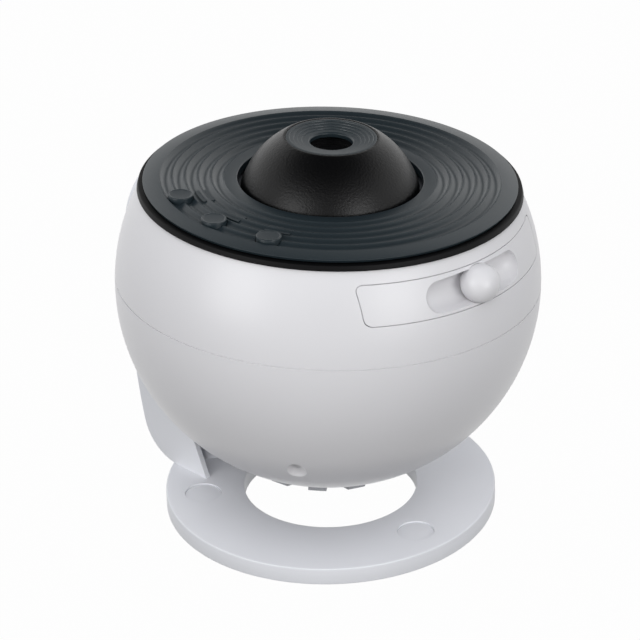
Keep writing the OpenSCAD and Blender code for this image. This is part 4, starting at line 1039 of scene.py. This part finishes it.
class PROJECTOR_OT_stage(bpy.types.Operator):
    """Camera, floor, backdrop and soft studio lamps"""

    bl_idname = "projector.stage"
    bl_label = "Stage"

    def execute(self, context):
        scene = context.scene
        scene.view_settings.view_transform = "Standard"
        self.camera(scene)
        self.floor()
        self.world(scene)
        self.lamps()
        return {"FINISHED"}

    def camera(self, scene):
        """The view fitted to the photograph's outlines: from 1400 mm, 28 degrees above the horizon."""
        centre = ball_centre()
        distance, rise = 1400.0, 0.4906
        yaw, pitch, roll = 0.0023, -0.0105, 0.0264
        focal_px, frame_px, sensor_mm = 3974.1, 640, 36.0
        heading = Matrix.Rotation(math.radians(VIEW_HEADING), 3, "Z")
        back = heading @ Vector((0, -math.cos(rise), math.sin(rise)))
        forward = -back
        right = heading @ Vector((1, 0, 0))
        up = right.cross(forward)
        turn = Matrix.Rotation(pitch, 3, right)
        forward, up = turn @ forward, turn @ up
        turn = Matrix.Rotation(yaw, 3, up)
        forward, right = turn @ forward, turn @ right
        turn = Matrix.Rotation(roll, 3, forward)
        right, up = turn @ right, turn @ up
        data = bpy.data.cameras.new("studio_camera")
        data.sensor_width = sensor_mm
        data.lens = sensor_mm * focal_px / frame_px
        data.clip_start, data.clip_end = 0.05, 50.0
        item = placed("studio_camera", data)
        eye = centre + back * distance
        item.matrix_world = Matrix((
            (right.x, up.x, -forward.x, eye.x * MM),
            (right.y, up.y, -forward.y, eye.y * MM),
            (right.z, up.z, -forward.z, eye.z * MM),
            (0, 0, 0, 1),
        ))
        scene.camera = item

    def floor(self):
        """A wide floor, white to the camera and in reflections, that keeps a faint shadow."""
        bm = bmesh.new()
        bmesh.ops.create_circle(bm, cap_ends=True, segments=96, radius=6.0)
        bmesh.ops.translate(bm, vec=(0, 0, -0.1 * MM), verts=bm.verts[:])
        item = placed("studio_floor", mesh_of("studio_floor", bm))
        material = bpy.data.materials.new("white_backdrop_paper")
        material.use_nodes = True
        tree = material.node_tree
        tree.nodes.clear()
        paper = add_node(tree, "ShaderNodeBsdfDiffuse", {"Color": linear("#606060")})
        glow = add_node(tree, "ShaderNodeEmission", {"Color": colours().backdrop, "Strength": 1.0})
        _, seen = seen_rays(tree)
        # the small rest of the paper keeps the object's shadow
        share = add_node(tree, "ShaderNodeMath", {"operation": "MULTIPLY", 1: 0.985}, {0: seen})
        mix = add_node(
            tree, "ShaderNodeMixShader", None, {0: share.outputs[0], 1: paper.outputs[0], 2: glow.outputs[0]}
        )
        add_node(tree, "ShaderNodeOutputMaterial", links={"Surface": mix.outputs[0]})
        item.data.materials.append(material)

    def world(self, scene):
        """A pale surround, brighter above, that the camera and reflections see as white."""
        world = bpy.data.worlds.new("studio_surround")
        scene.world = world
        world.use_nodes = True
        tree = world.node_tree
        tree.nodes.clear()
        path, seen = seen_rays(tree)
        white = add_node(tree, "ShaderNodeBackground", {"Color": colours().backdrop, "Strength": 1.0})
        toward = add_node(tree, "ShaderNodeTexCoord").outputs["Generated"]
        height = add_node(tree, "ShaderNodeSeparateXYZ", None, {0: toward})
        above = add_node(
            tree, "ShaderNodeMapRange",
            {"From Min": 0.0, "From Max": 1.0, "To Min": 0.1, "To Max": 0.95}, {"Value": height.outputs["Z"]},
        )
        surround = add_node(
            tree, "ShaderNodeBackground", {"Color": linear("#f4f6fa")}, {"Strength": above.outputs["Result"]}
        )
        # the studio's white walls end above the object, under a dark ceiling that only gloss shows
        fade = add_node(
            tree, "ShaderNodeMapRange",
            {"interpolation_type": "SMOOTHSTEP", "From Min": 0.45, "From Max": 0.9, "To Min": 1.0, "To Max": 0.04},
            {"Value": height.outputs["Z"]},
        )
        # above table height they leave a darker gap in front and behind
        side = add_node(
            tree, "ShaderNodeVectorMath", {"operation": "DOT_PRODUCT", 1: (*polar(1.0, VIEW_HEADING), 0.0)}, {0: toward}
        )
        side = add_node(tree, "ShaderNodeMath", {"operation": "ABSOLUTE"}, {0: side.outputs["Value"]})
        gap = add_node(
            tree, "ShaderNodeMapRange",
            {"From Min": 0.02, "From Max": 0.22, "To Min": 0.2, "To Max": 1.15}, {"Value": side.outputs[0]},
        )
        low = add_node(
            tree, "ShaderNodeMapRange",
            {"From Min": 0.12, "From Max": 0.3, "To Min": 1.0, "To Max": 0.0}, {"Value": height.outputs["Z"]},
        )
        gap = add_node(
            tree, "ShaderNodeMath", {"operation": "MAXIMUM"}, {0: gap.outputs["Result"], 1: low.outputs["Result"]}
        )
        fade = add_node(
            tree, "ShaderNodeMath", {"operation": "MULTIPLY"}, {0: fade.outputs["Result"], 1: gap.outputs[0]}
        )
        walls = add_node(
            tree, "ShaderNodeBackground", {"Color": colours().backdrop}, {"Strength": fade.outputs[0]}
        )
        gloss = add_node(
            tree, "ShaderNodeMixShader", None,
            {0: path.outputs["Is Glossy Ray"], 1: white.outputs[0], 2: walls.outputs[0]},
        )
        mix = add_node(
            tree, "ShaderNodeMixShader", None,
            {0: seen, 1: surround.outputs[0], 2: gloss.outputs[0]},
        )
        add_node(tree, "ShaderNodeOutputWorld", links={"Surface": mix.outputs[0]})

    def lamps(self):
        """Low soft boxes at the left and the right, and two that gloss doesn't show in front and behind."""
        target = ball_centre() * MM
        # heading and rise in degrees, distance and size in metres, power in watts, and whether gloss shows it
        for name, heading, rise, distance, size, power, mirrored in (
            ("softbox_left", 265, 16, 1.3, 0.7, 4.6, True),
            ("softbox_front", 312, 38, 1.3, 0.7, 3.0, False),
            ("softbox_right", 353, 12, 1.4, 0.7, 5.4, True),
            ("softbox_back", 150, 16, 1.3, 0.7, 4.4, False),
        ):
            data = bpy.data.lights.new(name, "AREA")
            data.shape = "SQUARE"
            data.size = size
            data.energy = power
            item = placed(name, data)
            along, across = polar(math.cos(math.radians(rise)), heading)
            back = Vector((along, across, math.sin(math.radians(rise))))
            item.visible_glossy = mirrored
            item.location = target + back * distance
            item.rotation_euler = (-back).to_track_quat("-Z", "Y").to_euler()


class PROJECTOR_PT_panel(bpy.types.Panel):
    """Buttons for each group of pieces"""

    bl_label = "Planetarium projector"
    bl_idname = "PROJECTOR_PT_panel"
    bl_space_type = "VIEW_3D"
    bl_region_type = "UI"
    bl_category = "Projector"

    def draw(self, context):
        for operator in OPERATORS:
            self.layout.operator(operator.bl_idname)
        for group in (context.scene.projector_sizes, context.scene.projector_colours):
            box = self.layout.box()
            for name in group.__annotations__:
                box.prop(group, name)


OPERATORS = (
    PROJECTOR_OT_finishes,
    PROJECTOR_OT_upper_shell,
    PROJECTOR_OT_lower_shell,
    PROJECTOR_OT_vent_cap,
    PROJECTOR_OT_trim_ring,
    PROJECTOR_OT_top_plate,
    PROJECTOR_OT_buttons,
    PROJECTOR_OT_lens_cone,
    PROJECTOR_OT_tray_front,
    PROJECTOR_OT_ring,
    PROJECTOR_OT_arm,
    PROJECTOR_OT_stage,
)
CLASSES = (ProjectorSizes, ProjectorColours, *OPERATORS, PROJECTOR_PT_panel)


def register():
    for item in CLASSES:
        bpy.utils.register_class(item)
    bpy.types.Scene.projector_sizes = bpy.props.PointerProperty(type=ProjectorSizes)
    bpy.types.Scene.projector_colours = bpy.props.PointerProperty(type=ProjectorColours)


def unregister():
    del bpy.types.Scene.projector_colours
    del bpy.types.Scene.projector_sizes
    for item in reversed(CLASSES):
        bpy.utils.unregister_class(item)


def main():
    """Makes the whole scene."""
    register()
    bpy.ops.projector.finishes()
    bpy.ops.projector.upper_shell()
    bpy.ops.projector.lower_shell()
    bpy.ops.projector.vent_cap()
    bpy.ops.projector.trim_ring()
    bpy.ops.projector.top_plate()
    bpy.ops.projector.buttons()
    bpy.ops.projector.lens_cone()
    bpy.ops.projector.tray_front()
    bpy.ops.projector.ring()
    bpy.ops.projector.arm()
    bpy.ops.projector.stage()


if __name__ == "__main__":
    main()
